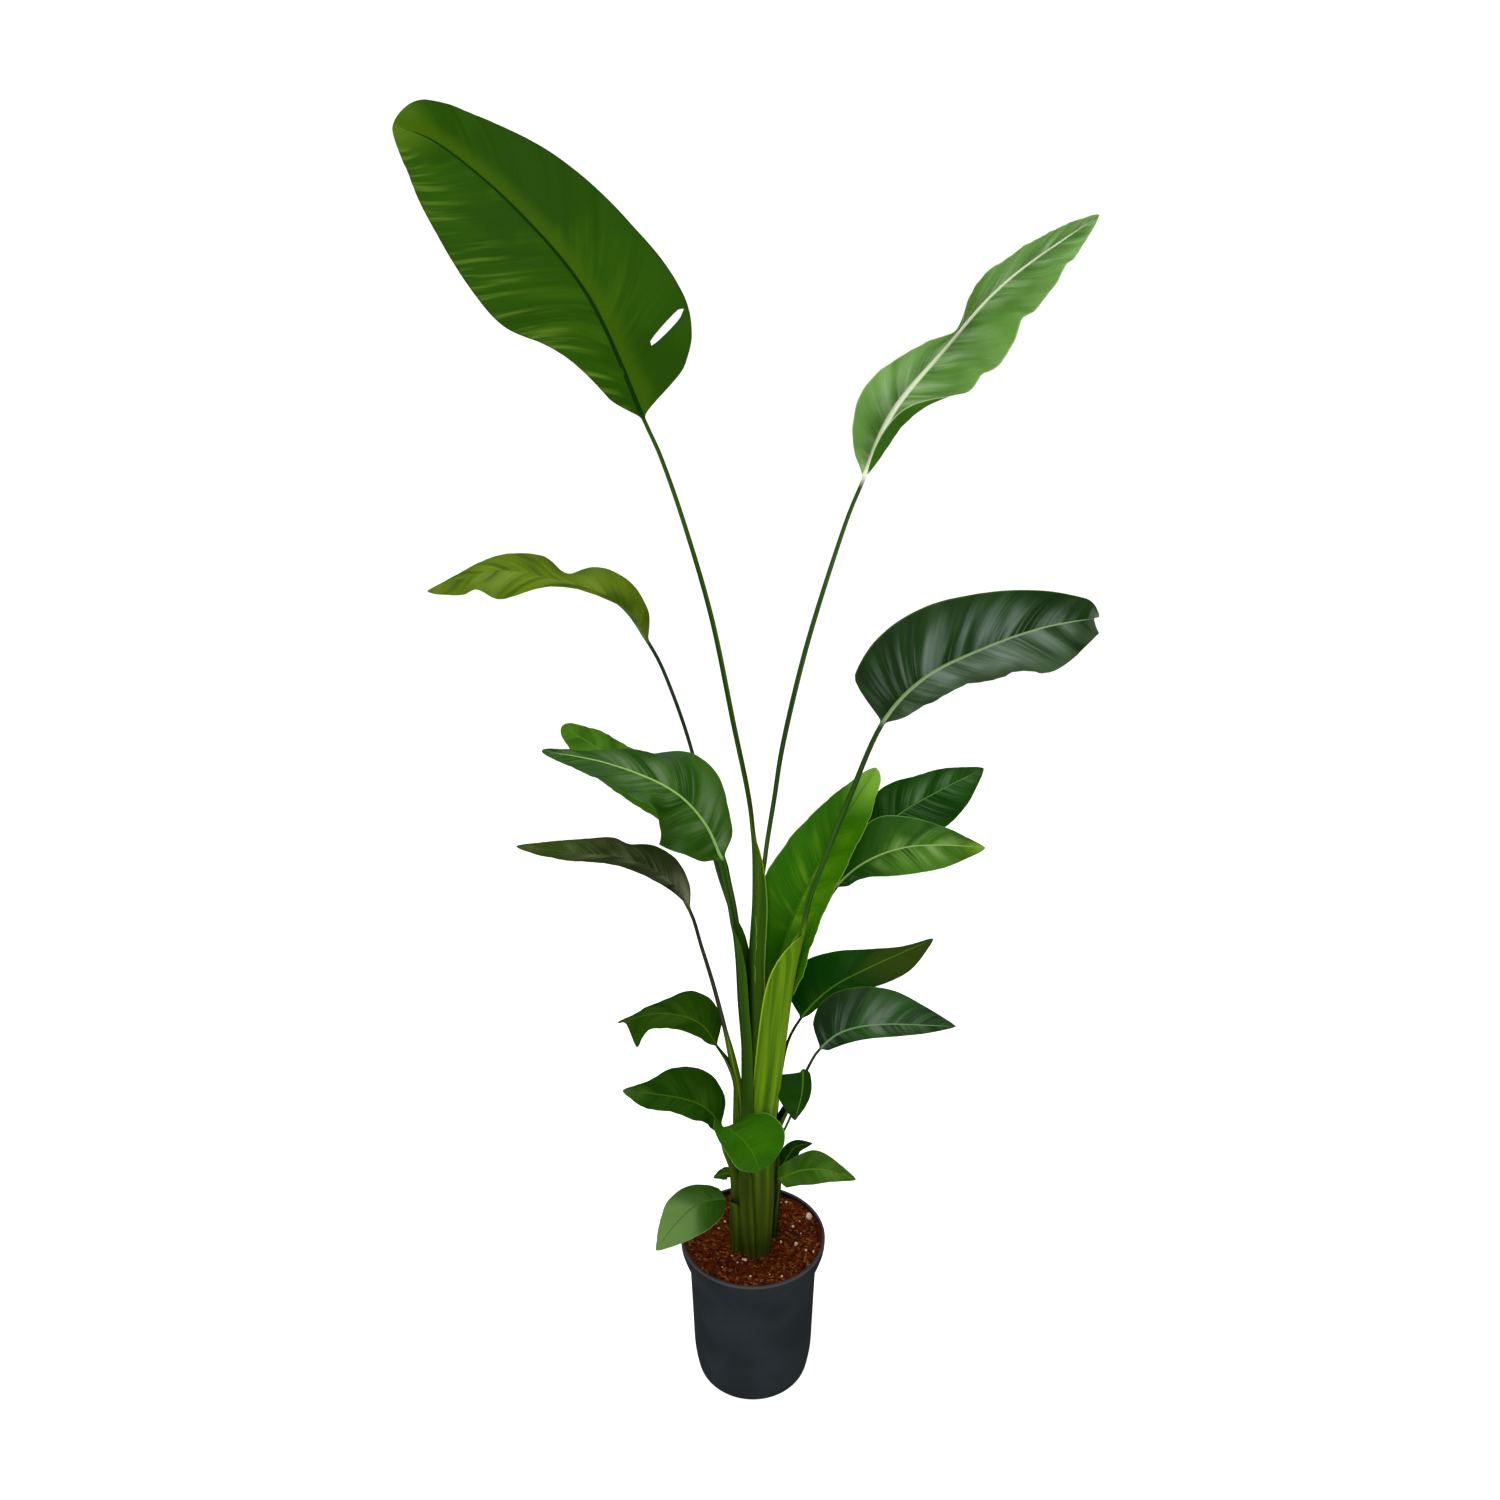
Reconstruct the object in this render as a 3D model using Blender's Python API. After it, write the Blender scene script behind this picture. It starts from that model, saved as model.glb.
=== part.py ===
"""Potted giant bird of paradise: a plastic nursery pot, its soil, and twenty leaves.

Metres, +Z up. The origin is the centre of the pot's underside. The leaves grow in fans
whose plane is XZ, so -Y is the open side of the plant and +Y its back.
Each leaf is one grown piece: a sheath that wraps its shoot, a stalk and a blade.
"""
import math
from typing import NamedTuple

import bmesh
import bpy
import numpy as np

# Pot
POT_HEIGHT = 0.230
POT_WALL = 0.0018
POT_FLOOR = 0.003
POT_SIDES = 32
FLOOR_CORNER = 0.004     # radius of the pot's inner corner
# Outside of the pot from its underside up: radius, height
POT_PROFILE = (
    (0.0790, 0.000), (0.0828, 0.0018), (0.0850, 0.007), (0.0893, 0.050), (0.0925, 0.105),
    (0.0955, 0.150), (0.0985, 0.165), (0.1035, 0.182), (0.1082, 0.205), (0.1100, 0.222),
    (0.1100, POT_HEIGHT),
)

# Soil
SOIL_TOP = 0.212
SOIL_RISE = 0.004        # how much the soil stands higher round the shoots
GAP = 0.0003             # between pieces that touch
WRAP = 88                # how far a sheath reaches round its shoot each way, degrees
OPEN_WRAP = 38           # the same where the stalk leaves it
PLANTED = 0.015          # how far the sheaths go down into the soil
POCKET_ROOM = 0.0012     # between a shoot's outermost sheath and its pocket, for its corners
CORE_TAPER = 0.4         # how much thinner a core gets before its stalk leaves it
LAYER_GAP = 0.0008       # between one sheath and the next
# How thick a shoot is at some heights, as a part of its full thickness
SHOOT_HEIGHTS = (SOIL_TOP, 0.32, 0.58, 0.80)
SHOOT_SIZES = (0.66, 0.94, 0.94, 0.50)

# Numbers of points: across half a sheath's wrap, and along each stretch of a leaf
SHEATH_POINTS = 9
LEAF_POINTS = 5
STALK_STEP = 0.055
BLADE_STEP = 0.05
BLADE_THICKNESS = 0.0012
TIP_WIDTH = 0.02         # of the half width, where the blade ends
ENDS = 0.3               # of a step: the extra rings at a blade's two ends
CURVE_SAMPLES = 24       # between two given points, to measure along a curve
ROOT_PULL = 0.06         # how far below a stalk's start the point is that sets its direction
STALK_FLAT = 0.75        # how far a stalk's upper face bulges, as a part of its lower one
TIP_KEEL = 0.6           # how far the midrib stands out below at the tip, of the thickness
EDGE_THINNING = 0.4      # how much thinner a blade is at its edges
POCKET_SIDES = 24

LEFT = 180
RIGHT = 0


class Shoot(NamedTuple):
    """One plant of the clump. Its sheaths are nested, and flatter from front to back."""
    x: float
    y: float
    lean: float           # metres of x per metre of height
    core: float           # radius of the innermost sheath, which is solid
    wall: float           # thickness of the others
    flat: float = 0.85    # depth as a part of the width


class Leaf(NamedTuple):
    """A leaf. Points run from the sheath outwards, and left is the left of its upper face."""
    name: str
    shoot: str
    layer: int            # 0 is the core of the shoot
    side: float           # the way it leaves the shoot, degrees from +X towards +Y
    opens: float          # height where the sheath starts to open
    leaves: float         # height where the stalk leaves the shoot
    rib: tuple            # the midrib's points, from the blade's base to its tip
    width: tuple          # half width, left and right
    stalk: tuple = ()     # points between the shoot and the blade
    face: tuple = ((0, -1, 0.5), (0, -1, 0.5))   # where the upper side faces, base and tip
    fold: tuple = ((20, 10, 5), (20, 10, 5))     # lift of each half: base, middle, tip
    # For each half: where it is widest, and how blunt its base and its tip are (0.5 is round)
    shape: tuple = ((0.42, 0.6, 0.8), (0.42, 0.6, 0.8))
    thick: tuple = (0.0045, 0.0030)              # half thickness of the stalk's two ends


SHOOTS = {
    "main": Shoot(0.009, -0.017, 0.020, 0.0065, 0.0048),
    "left": Shoot(-0.031, -0.006, 0.008, 0.0075, 0.0018),
    "back": Shoot(0.014, 0.036, 0.010, 0.0055, 0.0024),
    "right": Shoot(0.045, 0.004, 0.015, 0.0035, 0.0020),
}

LEAVES = (
    # The main shoot
    Leaf("leaf_tall_right", "main", 0, RIGHT, 0.60, 0.76,
         stalk=((0.021, -0.004, 0.860), (0.042, 0.000, 1.010), (0.075, 0.0, 1.145),
                (0.105, 0.0, 1.260)),
         rib=((0.140, 0.0, 1.345), (0.168, -0.010, 1.425), (0.225, -0.010, 1.495),
              (0.300, 0.0, 1.575), (0.413, 0.030, 1.653)),
         width=(0.072, 0.078), face=((0, -1, 0), (0, -1, 0)),
         fold=((45, 65, 60), (115, 40, 45)), shape=((0.3, 0.6, 0.8), (0.45, 0.6, 1.0))),
    Leaf("leaf_new_centre", "main", 1, RIGHT, 0.36, 0.62,
         rib=((0.038, -0.030, 0.690), (0.066, -0.005, 0.780), (0.112, 0.015, 0.870),
              (0.168, 0.025, 0.965)),
         width=(0.059, 0.050), face=((0.1, -0.9, 0.1), (-0.1, -0.9, 0.1)),
         fold=((35, 15, 20), (60, 50, 50)), shape=((0.45, 0.7, 0.8), (0.6, 0.7, 0.6)),
         thick=(0.006, 0.004)),
    Leaf("leaf_tall_left", "main", 2, LEFT, 0.42, 0.72,
         stalk=((0.002, -0.013, 0.860), (-0.022, -0.013, 1.030), (-0.060, -0.015, 1.200),
                (-0.090, -0.020, 1.315)),
         rib=((-0.132, -0.020, 1.422), (-0.190, -0.035, 1.550), (-0.265, -0.040, 1.640),
              (-0.350, -0.030, 1.712), (-0.405, -0.005, 1.742)),
         width=(0.098, 0.092), face=((0, -1, 0), (0, -1, 0)),
         fold=((15, 5, 5), (15, 5, 5)), shape=((0.50, 0.9, 0.7), (0.35, 0.35, 0.9))),
    Leaf("leaf_upper_right", "main", 3, RIGHT, 0.36, 0.58,
         stalk=((0.056, -0.048, 0.713), (0.070, -0.060, 0.798), (0.090, -0.066, 0.855),
                (0.125, -0.060, 0.948)),
         rib=((0.165, -0.045, 1.045), (0.215, -0.050, 1.105), (0.285, -0.050, 1.142),
              (0.360, -0.045, 1.168), (0.440, -0.020, 1.178)),
         width=(0.082, 0.056), face=((-0.1, -0.9, 0.2), (0, -0.9, 0.2)),
         fold=((10, 10, 10), (60, 20, 10)), shape=((0.25, 0.4, 0.9), (0.70, 1.1, 0.5)),
         thick=(0.0055, 0.0032)),
    Leaf("leaf_mid_left_front", "main", 4, LEFT, 0.36, 0.56,
         stalk=((-0.011, -0.026, 0.680), (-0.027, -0.036, 0.790)),
         rib=((-0.045, -0.050, 0.860), (-0.065, -0.070, 0.920), (-0.105, -0.085, 0.970),
              (-0.180, -0.090, 1.005), (-0.265, -0.085, 1.020)),
         width=(0.054, 0.052), face=((0.3, -0.6, 0.6), (0, -0.4, 0.9)),
         fold=((10, 0, 0), (20, 10, 0)), shape=((0.22, 0.5, 1.3), (0.30, 0.6, 1.4)),
         thick=(0.0065, 0.0035)),
    Leaf("leaf_front_small", "main", 5, 202.5, 0.27, 0.36,
         rib=((-0.038, -0.055, 0.440), (-0.018, -0.074, 0.447), (0.000, -0.083, 0.420),
              (0.006, -0.086, 0.385)),
         width=(0.030, 0.034), face=((0.7, -0.5, 1), (0.2, -1, 0.2)),
         fold=((5, 0, 0), (5, 0, 0)), shape=((0.45, 0.5, 0.7), (0.45, 0.5, 0.7)),
         thick=(0.003, 0.002)),
    # The shoot on the left
    Leaf("leaf_lower_left", "left", 0, LEFT, 0.42, 0.53,
         stalk=((-0.036, -0.012, 0.582), (-0.050, -0.020, 0.645), (-0.068, -0.030, 0.715)),
         rib=((-0.086, -0.035, 0.780), (-0.112, -0.045, 0.832), (-0.170, -0.050, 0.863),
              (-0.240, -0.048, 0.870), (-0.315, -0.040, 0.875)),
         width=(0.050, 0.050), face=((0.6, 0, 0.6), (0, 0, 1)),
         fold=((10, 0, -10), (25, 15, 10)), shape=((0.4, 0.6, 1.2), (0.4, 0.6, 1.2)),
         thick=(0.0045, 0.0028)),
    Leaf("leaf_low_left_upper", "left", 1, LEFT, 0.36, 0.44,
         stalk=((-0.042, -0.012, 0.520),),
         rib=((-0.052, -0.020, 0.565), (-0.078, -0.030, 0.608), (-0.130, -0.035, 0.625),
              (-0.190, -0.035, 0.610)),
         width=(0.030, 0.030), face=((0.5, -0.5, 0.8), (0, -0.5, 0.9)),
         fold=((5, 0, 0), (5, 0, 0)), shape=((0.4, 0.5, 1.0), (0.35, 0.4, 1.0)),
         thick=(0.003, 0.002)),
    Leaf("leaf_low_left_lower", "left", 2, LEFT + 30, 0.28, 0.34,
         stalk=((-0.044, -0.030, 0.400),),
         rib=((-0.047, -0.040, 0.445), (-0.070, -0.050, 0.485), (-0.110, -0.060, 0.508),
              (-0.182, -0.070, 0.525)),
         width=(0.032, 0.042), face=((0.5, -0.5, 0.8), (0, -0.5, 0.9)),
         fold=((5, 0, 0), (5, 0, 0)), shape=((0.4, 0.5, 1.0), (0.3, 0.35, 1.0)),
         thick=(0.003, 0.002)),
    Leaf("leaf_base_left", "left", 3, LEFT + 45, 0.24, 0.28,
         rib=((-0.040, -0.035, 0.318), (-0.075, -0.065, 0.335), (-0.105, -0.085, 0.320),
              (-0.135, -0.095, 0.282)),
         width=(0.030, 0.034), face=((0.2, -0.5, 0.8), (-0.5, -0.7, 0.5)),
         fold=((5, 0, 0), (5, 0, 0)), shape=((0.4, 0.5, 0.9), (0.5, 0.5, 0.9)),
         thick=(0.003, 0.002)),
    Leaf("leaf_base_left_back", "left", 4, 150, 0.23, 0.26,
         rib=((-0.045, 0.010, 0.300), (-0.060, 0.020, 0.318), (-0.075, 0.025, 0.312)),
         width=(0.010, 0.010), face=((0, -0.5, 0.8), (-0.3, -0.7, 0.6)),
         fold=((5, 0, 0), (5, 0, 0)), thick=(0.0025, 0.0018)),
    # The shoot at the back
    Leaf("leaf_mid_right_back", "back", 0, RIGHT, 0.45, 0.58,
         stalk=((0.060, 0.045, 0.680), (0.105, 0.060, 0.755)),
         rib=((0.145, 0.070, 0.815), (0.205, 0.080, 0.875), (0.265, 0.085, 0.912),
              (0.330, 0.090, 0.945)),
         width=(0.046, 0.058), face=((-0.3, -0.8, 0.5), (0, -0.8, 0.6)),
         fold=((10, 0, 0), (10, 0, 0)), shape=((0.45, 0.5, 0.7), (0.5, 0.6, 0.8)),
         thick=(0.0035, 0.0025)),
    Leaf("leaf_upper_left", "back", 1, LEFT, 0.45, 0.58,
         stalk=((-0.025, 0.040, 0.700), (-0.045, 0.045, 0.810), (-0.080, 0.050, 0.975),
                (-0.115, 0.050, 1.075)),
         rib=((-0.140, 0.045, 1.135), (-0.175, 0.030, 1.188), (-0.230, 0.015, 1.215),
              (-0.325, 0.0, 1.235), (-0.415, -0.010, 1.210)),
         width=(0.070, 0.070), face=((0.6, 0, 0.6), (0, 0, 1)),
         fold=((12, 0, -60), (30, 18, 10)), shape=((0.6, 0.6, 0.8), (0.5, 0.5, 1.0)),
         thick=(0.0035, 0.0025)),
    Leaf("leaf_mid_right_front", "back", 2, RIGHT, 0.40, 0.54,
         stalk=((0.060, 0.030, 0.655), (0.092, 0.032, 0.732)),
         rib=((0.118, 0.030, 0.788), (0.158, 0.025, 0.828), (0.210, 0.015, 0.853),
              (0.265, 0.005, 0.860), (0.318, 0.0, 0.858)),
         width=(0.042, 0.036), face=((-0.3, -0.8, 0.5), (0, -0.8, 0.6)),
         fold=((10, 0, 0), (20, 0, 0)), shape=((0.4, 0.5, 0.9), (0.5, 0.8, 0.9)),
         thick=(0.0035, 0.0025)),
    Leaf("leaf_mid_left_back", "back", 3, LEFT, 0.38, 0.50,
         stalk=((-0.028, 0.030, 0.660), (-0.045, 0.030, 0.780)),
         rib=((-0.065, 0.020, 0.850), (-0.125, 0.015, 0.930), (-0.195, 0.015, 0.985),
              (-0.258, 0.020, 1.025)),
         width=(0.045, 0.040), face=((0.4, -0.4, 0.8), (0, -0.5, 0.8)),
         fold=((5, 0, 0), (5, 0, 0)), thick=(0.0035, 0.0025)),
    Leaf("leaf_low_right_upper", "back", 4, RIGHT, 0.34, 0.42,
         stalk=((0.052, 0.022, 0.530),),
         rib=((0.070, 0.025, 0.583), (0.112, 0.030, 0.628), (0.168, 0.030, 0.662),
              (0.260, 0.035, 0.705)),
         width=(0.046, 0.036), face=((-0.3, -0.8, 0.5), (0, -0.8, 0.6)),
         fold=((10, 0, 0), (10, 0, 0)), shape=((0.22, 0.35, 1.2), (0.6, 0.6, 0.7)),
         thick=(0.003, 0.002)),
    Leaf("leaf_low_right_lower", "back", 5, RIGHT, 0.30, 0.38,
         stalk=((0.060, 0.008, 0.460), (0.080, -0.004, 0.520)),
         rib=((0.096, -0.015, 0.557), (0.128, -0.030, 0.594), (0.183, -0.042, 0.612),
              (0.280, -0.055, 0.616)),
         width=(0.045, 0.022), face=((-0.3, -0.8, 0.5), (0, -0.8, 0.6)),
         fold=((10, 0, 0), (10, 0, 0)), shape=((0.42, 0.9, 1.0), (0.4, 0.6, 1.0)),
         thick=(0.003, 0.002)),
    # The small shoot on the right
    Leaf("leaf_low_right_hanging", "right", 0, RIGHT, 0.32, 0.38,
         stalk=((0.056, -0.014, 0.450),),
         rib=((0.068, -0.024, 0.515), (0.071, -0.032, 0.487), (0.055, -0.038, 0.442)),
         width=(0.018, 0.018), face=((-0.2, -0.6, 1), (0.2, -1, 0.2)),
         fold=((10, 0, 0), (10, 0, 0)), thick=(0.003, 0.002)),
    Leaf("leaf_base_right", "right", 1, RIGHT, 0.26, 0.31,
         rib=((0.062, -0.004, 0.346), (0.100, -0.012, 0.353), (0.155, -0.025, 0.334)),
         width=(0.025, 0.025), face=((0, -0.7, 0.6), (0.2, -0.7, 0.6)),
         fold=((5, 0, 0), (5, 0, 0)), shape=((0.4, 0.5, 1.0), (0.4, 0.5, 1.0)),
         thick=(0.003, 0.002)),
    Leaf("leaf_base_right_back", "right", 2, 80, 0.25, 0.29,
         rib=((0.050, 0.030, 0.345), (0.070, 0.040, 0.365), (0.092, 0.045, 0.362)),
         width=(0.015, 0.015), face=((0, -0.8, 0.4), (0.3, -0.8, 0.4)),
         fold=((5, 0, 0), (5, 0, 0)), thick=(0.0025, 0.002)),
)

# Colours: linear RGB, roughness
LEAF_GREEN = ((0.035, 0.120, 0.012), 0.35)
POT_GREY = ((0.020, 0.026, 0.029), 0.45)
SOIL_BROWN = ((0.060, 0.014, 0.003), 0.95)


# Curves and directions

def unit(v):
    v = np.array(v, float)
    return v / np.linalg.norm(v)


def ease(t):
    t = min(max(t, 0.0), 1.0)
    return t * t * (3 - 2 * t)


def between(values, t):
    """Value at t, 0 to 1, of a few values spread evenly along it."""
    x = t * (len(values) - 1)
    i = min(int(x), len(values) - 2)
    f = ease(x - i)
    return np.array(values[i]) * (1 - f) + np.array(values[i + 1]) * f


def curve(points, step, least, before, after, ends=False):
    """Points about a step apart on a smooth curve, and where they lie along it, 0 to 1.

    The curve runs from the second given point to the last but one: before and after only
    set its direction at the ends. With ends, it gets an extra point near each end.
    """
    p = [np.array(q, float) for q in (before, *points, after)]
    fine = []
    for a, b, c, d in zip(p, p[1:], p[2:], p[3:]):
        for i in range(CURVE_SAMPLES):
            t = i / CURVE_SAMPLES
            fine.append(0.5 * (2 * b + (c - a) * t + (2 * a - 5 * b + 4 * c - d) * t ** 2
                               + (3 * b - a - 3 * c + d) * t ** 3))
    fine.append(p[-2])
    run = np.cumsum([0.0] + [float(np.linalg.norm(b - a)) for a, b in zip(fine, fine[1:])])
    at = np.linspace(0, run[-1], max(least, round(run[-1] / step)) + 1)
    if ends:
        at = np.sort([*at, at[1] * ENDS, run[-1] - at[1] * ENDS])
    spots = zip(*(np.interp(at, run, [f[k] for f in fine]) for k in range(3)))
    return [np.array(q) for q in spots], at / run[-1]


def directions(points, before, after):
    """The way a curve runs at each of its points."""
    p = [np.array(before), *points, np.array(after)]
    return [unit(c - a) for a, c in zip(p, p[2:])]


def across_and_out(way, face):
    """To the right, and out of the upper face, where a leaf runs this way."""
    out = unit(np.array(face, float) - np.dot(face, way) * way)
    return np.cross(way, out), out


# Shoots and sheaths

def shoot_axis(shoot, z):
    return np.array([shoot.x + shoot.lean * (z - SOIL_TOP), shoot.y, z])


def shoot_size(z):
    return float(np.interp(z, SHOOT_HEIGHTS, SHOOT_SIZES))


def layer_radii(shoot, layer):
    """Inner and outer radius of a layer. The core's inner radius is minus its outer one."""
    if layer == 0:
        return -shoot.core, shoot.core
    inner = shoot.core + LAYER_GAP * layer + shoot.wall * (layer - 1)
    return inner, inner + shoot.wall


def outward(leaf):
    a = math.radians(leaf.side)
    return np.array([math.cos(a), math.sin(a), 0.0])


def sheath_ring(shoot, leaf, z):
    """A crescent round the shoot: its outer face, then its inner face, left to right."""
    inner, outer = layer_radii(shoot, leaf.layer)
    open_part = ease((z - leaf.opens) / (leaf.leaves - leaf.opens))
    half_wrap = math.radians(WRAP + (OPEN_WRAP - WRAP) * open_part)
    size = shoot_size(z)
    if leaf.layer == 0:
        half_wrap = math.radians(90 - 90 / SHEATH_POINTS)
        size *= 1 - CORE_TAPER * open_part
    out = outward(leaf)
    across = np.cross((0, 0, 1), -out)
    middle = (SHEATH_POINTS - 1) / 2
    step = half_wrap / middle
    # the inner face's flats stay clear of the round sheath inside it
    inner_face = inner / math.cos(step / 2) if inner > 0 else inner
    rows = []
    for radius in (outer, inner_face):
        turn = [step * (j - middle) for j in range(SHEATH_POINTS)]
        row = [out * (radius * math.cos(a)) + across * (abs(radius) * math.sin(a)) for a in turn]
        rows.append([shoot_axis(shoot, z) + size * p * (1, shoot.flat, 1) for p in row])
    return rows


def sheath_rings(shoot, leaf):
    opening = [leaf.opens + (leaf.leaves - leaf.opens) * f for f in (0, 0.25, 0.5, 0.75, 1)]
    heights = sorted({SOIL_TOP - PLANTED, *SHOOT_HEIGHTS, *opening})
    return [sheath_ring(shoot, leaf, z) for z in heights if z <= leaf.leaves]


def stalk_start(shoot, leaf):
    """Middle of the sheath where the stalk leaves it."""
    radius = sum(layer_radii(shoot, leaf.layer)) / 2
    return shoot_axis(shoot, leaf.leaves) + radius * outward(leaf) * (1, shoot.flat, 1)


# Stalks and blades

def stalk_ring(centre, across, out, half):
    """An oval, flatter on its upper face."""
    turn = [math.radians(36) * (j - 2) for j in range(LEAF_POINTS)]
    return [[centre + across * (half * math.sin(a)) + out * (depth * half * math.cos(a))
             for a in turn] for depth in (-1, STALK_FLAT)]


def outline(shape, t):
    """Half width of a blade at t along it, as a part of the widest."""
    widest, base, tip = shape
    r = (widest - t) / widest if t < widest else (t - widest) / (1 - widest)
    return max(1 - r * r, 0.0) ** (base if t < widest else tip)


def blade_ring(leaf, t, centre, across, out):
    """A thin section from the left edge over the midrib to the right edge."""
    keel = leaf.thick[1] * (1 - t) + BLADE_THICKNESS * TIP_KEEL * t
    rows = [[], []]
    for j in range(LEAF_POINTS):
        u = (j - 2) / 2
        half = 1 if u > 0 else 0
        way = across if u > 0 else -across
        lift = math.radians(float(between(leaf.fold[half], t)))
        reach = abs(u) * leaf.width[half] * max(outline(leaf.shape[half], t), TIP_WIDTH)
        p = centre + way * (reach * math.cos(lift)) + out * (reach * math.sin(lift))
        normal = out if u == 0 else out * math.cos(lift) - way * math.sin(lift)
        thin = BLADE_THICKNESS / 2 * (1 - EDGE_THINNING * abs(u))
        rows[0].append(p - normal * (keel if u == 0 else thin))
        rows[1].append(p + normal * thin)
    return rows


def stalk_rings(leaf, start, below):
    points, along = curve((start, *leaf.stalk, leaf.rib[0]), STALK_STEP, 2, below, leaf.rib[1])
    ways = directions(points, below, leaf.rib[1])
    rings = []
    for point, way, t in zip(points, ways, along):
        face = between((-outward(leaf), unit(leaf.face[0])), t)
        half = leaf.thick[0] * (1 - t) + leaf.thick[1] * t
        rings.append(stalk_ring(point, *across_and_out(way, face), half))
    return rings[1:]


def blade_rings(leaf, before):
    tip = np.array(leaf.rib[-1])
    after = 2 * tip - np.array(leaf.rib[-2])
    points, along = curve(leaf.rib, BLADE_STEP, 5, before, after, ends=True)
    rings = []
    for point, way, t in zip(points, directions(points, before, after), along):
        rings.append(blade_ring(leaf, t, point, *across_and_out(way, between(leaf.face, t))))
    return rings[1:]


# Meshes

def new_object(name, vertices, faces, look):
    """A smooth mesh object with its faces pointing out, and a material of its own."""
    mesh = bpy.data.meshes.new(name)
    mesh.from_pydata([tuple(float(c) for c in v) for v in vertices], [], faces)
    bm = bmesh.new()
    bm.from_mesh(mesh)
    bmesh.ops.recalc_face_normals(bm, faces=bm.faces)
    bm.to_mesh(mesh)
    bm.free()
    mesh.shade_smooth()
    mesh.set_sharp_from_angle(angle=math.radians(50))
    obj = bpy.data.objects.new(name, mesh)
    bpy.context.collection.objects.link(obj)
    colour, roughness = look
    material = bpy.data.materials.new(name)
    material.use_nodes = True
    shader = material.node_tree.nodes["Principled BSDF"]
    shader.inputs["Base Color"].default_value = (*colour, 1)
    shader.inputs["Roughness"].default_value = roughness
    mesh.materials.append(material)
    return obj


def band(a, b):
    """Faces between two loops of as many points."""
    n = len(a)
    return [(a[k], a[(k + 1) % n], b[(k + 1) % n], b[k]) for k in range(n)]


def narrowing_band(a, b):
    """Faces from a sheath's last loop to a stalk's first, which has about half its points."""
    faces = []
    for row in range(2):
        wide, thin = row * SHEATH_POINTS, row * LEAF_POINTS
        for k in range(LEAF_POINTS - 1):
            p, q, r = a[wide + 2 * k:wide + 2 * k + 3]
            s, t = b[thin + k:thin + k + 2]
            faces += [(p, q, s), (q, t, s), (q, r, t)]
        end_a, end_b = wide + SHEATH_POINTS, thin + LEAF_POINTS
        faces.append((a[end_a - 1], a[end_a % len(a)], b[end_b % len(b)], b[end_b - 1]))
    return faces


def cap(loop):
    """Faces across a loop of two rows, the second one backwards."""
    return [(loop[k], loop[k + 1], loop[-2 - k], loop[-1 - k]) for k in range(len(loop) // 2 - 1)]


def make_leaf(leaf):
    shoot = SHOOTS[leaf.shoot]
    start = stalk_start(shoot, leaf)
    below = start - (0, 0, ROOT_PULL)
    last = leaf.stalk[-1] if leaf.stalk else start
    rings = sheath_rings(shoot, leaf) + stalk_rings(leaf, start, below) + blade_rings(leaf, last)
    vertices, loops = [], []
    for outer, inner in rings:
        loops.append(list(range(len(vertices), len(vertices) + 2 * len(outer))))
        vertices += outer + inner[::-1]
    faces = [face[::-1] for face in cap(loops[0])] + cap(loops[-1])
    for a, b in zip(loops, loops[1:]):
        faces += band(a, b) if len(a) == len(b) else narrowing_band(a, b)
    return new_object(leaf.name, vertices, faces, LEAF_GREEN)


def turned(name, profile, look):
    """A closed profile of radius and height turned about +Z; radius 0 closes it."""
    vertices, faces, loops = [], [], []
    for radius, z in profile:
        turn = [2 * math.pi * i / POT_SIDES for i in range(POT_SIDES if radius else 1)]
        loops.append(list(range(len(vertices), len(vertices) + len(turn))))
        vertices += [(radius * math.cos(a), radius * math.sin(a), z) for a in turn]
    for a, b in zip(loops, loops[1:]):
        if len(a) == len(b):
            faces += band(a, b)
        elif len(a) == 1:
            faces += [(a[0], b[i - 1], b[i]) for i in range(len(b))]
        else:
            faces += [(a[i - 1], a[i], b[0]) for i in range(len(a))]
    return new_object(name, vertices, faces, look)


# Pieces

def pot_inside(extra=0.0):
    """The pot's inner face from the floor up, moved in by a little more."""
    floor = POT_FLOOR + extra
    rows = [(r - POT_WALL - extra, z) for r, z in POT_PROFILE if floor < z < POT_HEIGHT]
    return [(rows[0][0] - FLOOR_CORNER, floor), *rows]


def make_pot():
    rim = POT_PROFILE[-1][0]
    lip = 0.0008
    inner_rim = rim - POT_WALL
    profile = [(0, 0), *POT_PROFILE[:-1], (rim, POT_HEIGHT - lip), (rim - lip, POT_HEIGHT),
               (inner_rim + lip / 2, POT_HEIGHT), (inner_rim, POT_HEIGHT - lip / 2),
               *pot_inside()[::-1], (0, POT_FLOOR)]
    return turned("pot", profile, POT_GREY)


def make_soil():
    """Soil that fills the pot nearly to its rim, with a pocket for each shoot."""
    inside = pot_inside(GAP)
    edge_top = SOIL_TOP - SOIL_RISE
    edge = float(np.interp(edge_top, [z for r, z in inside], [r for r, z in inside]))
    profile = [(0, POT_FLOOR + GAP), *(p for p in inside if p[1] < edge_top), (edge, edge_top),
               (edge * 0.8, SOIL_TOP - SOIL_RISE * 0.4), (edge * 0.55, SOIL_TOP), (0, SOIL_TOP)]
    soil = turned("soil", profile, SOIL_BROWN)
    for name, shoot in SHOOTS.items():
        cut_pocket(soil, name, shoot)
    return soil


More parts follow.
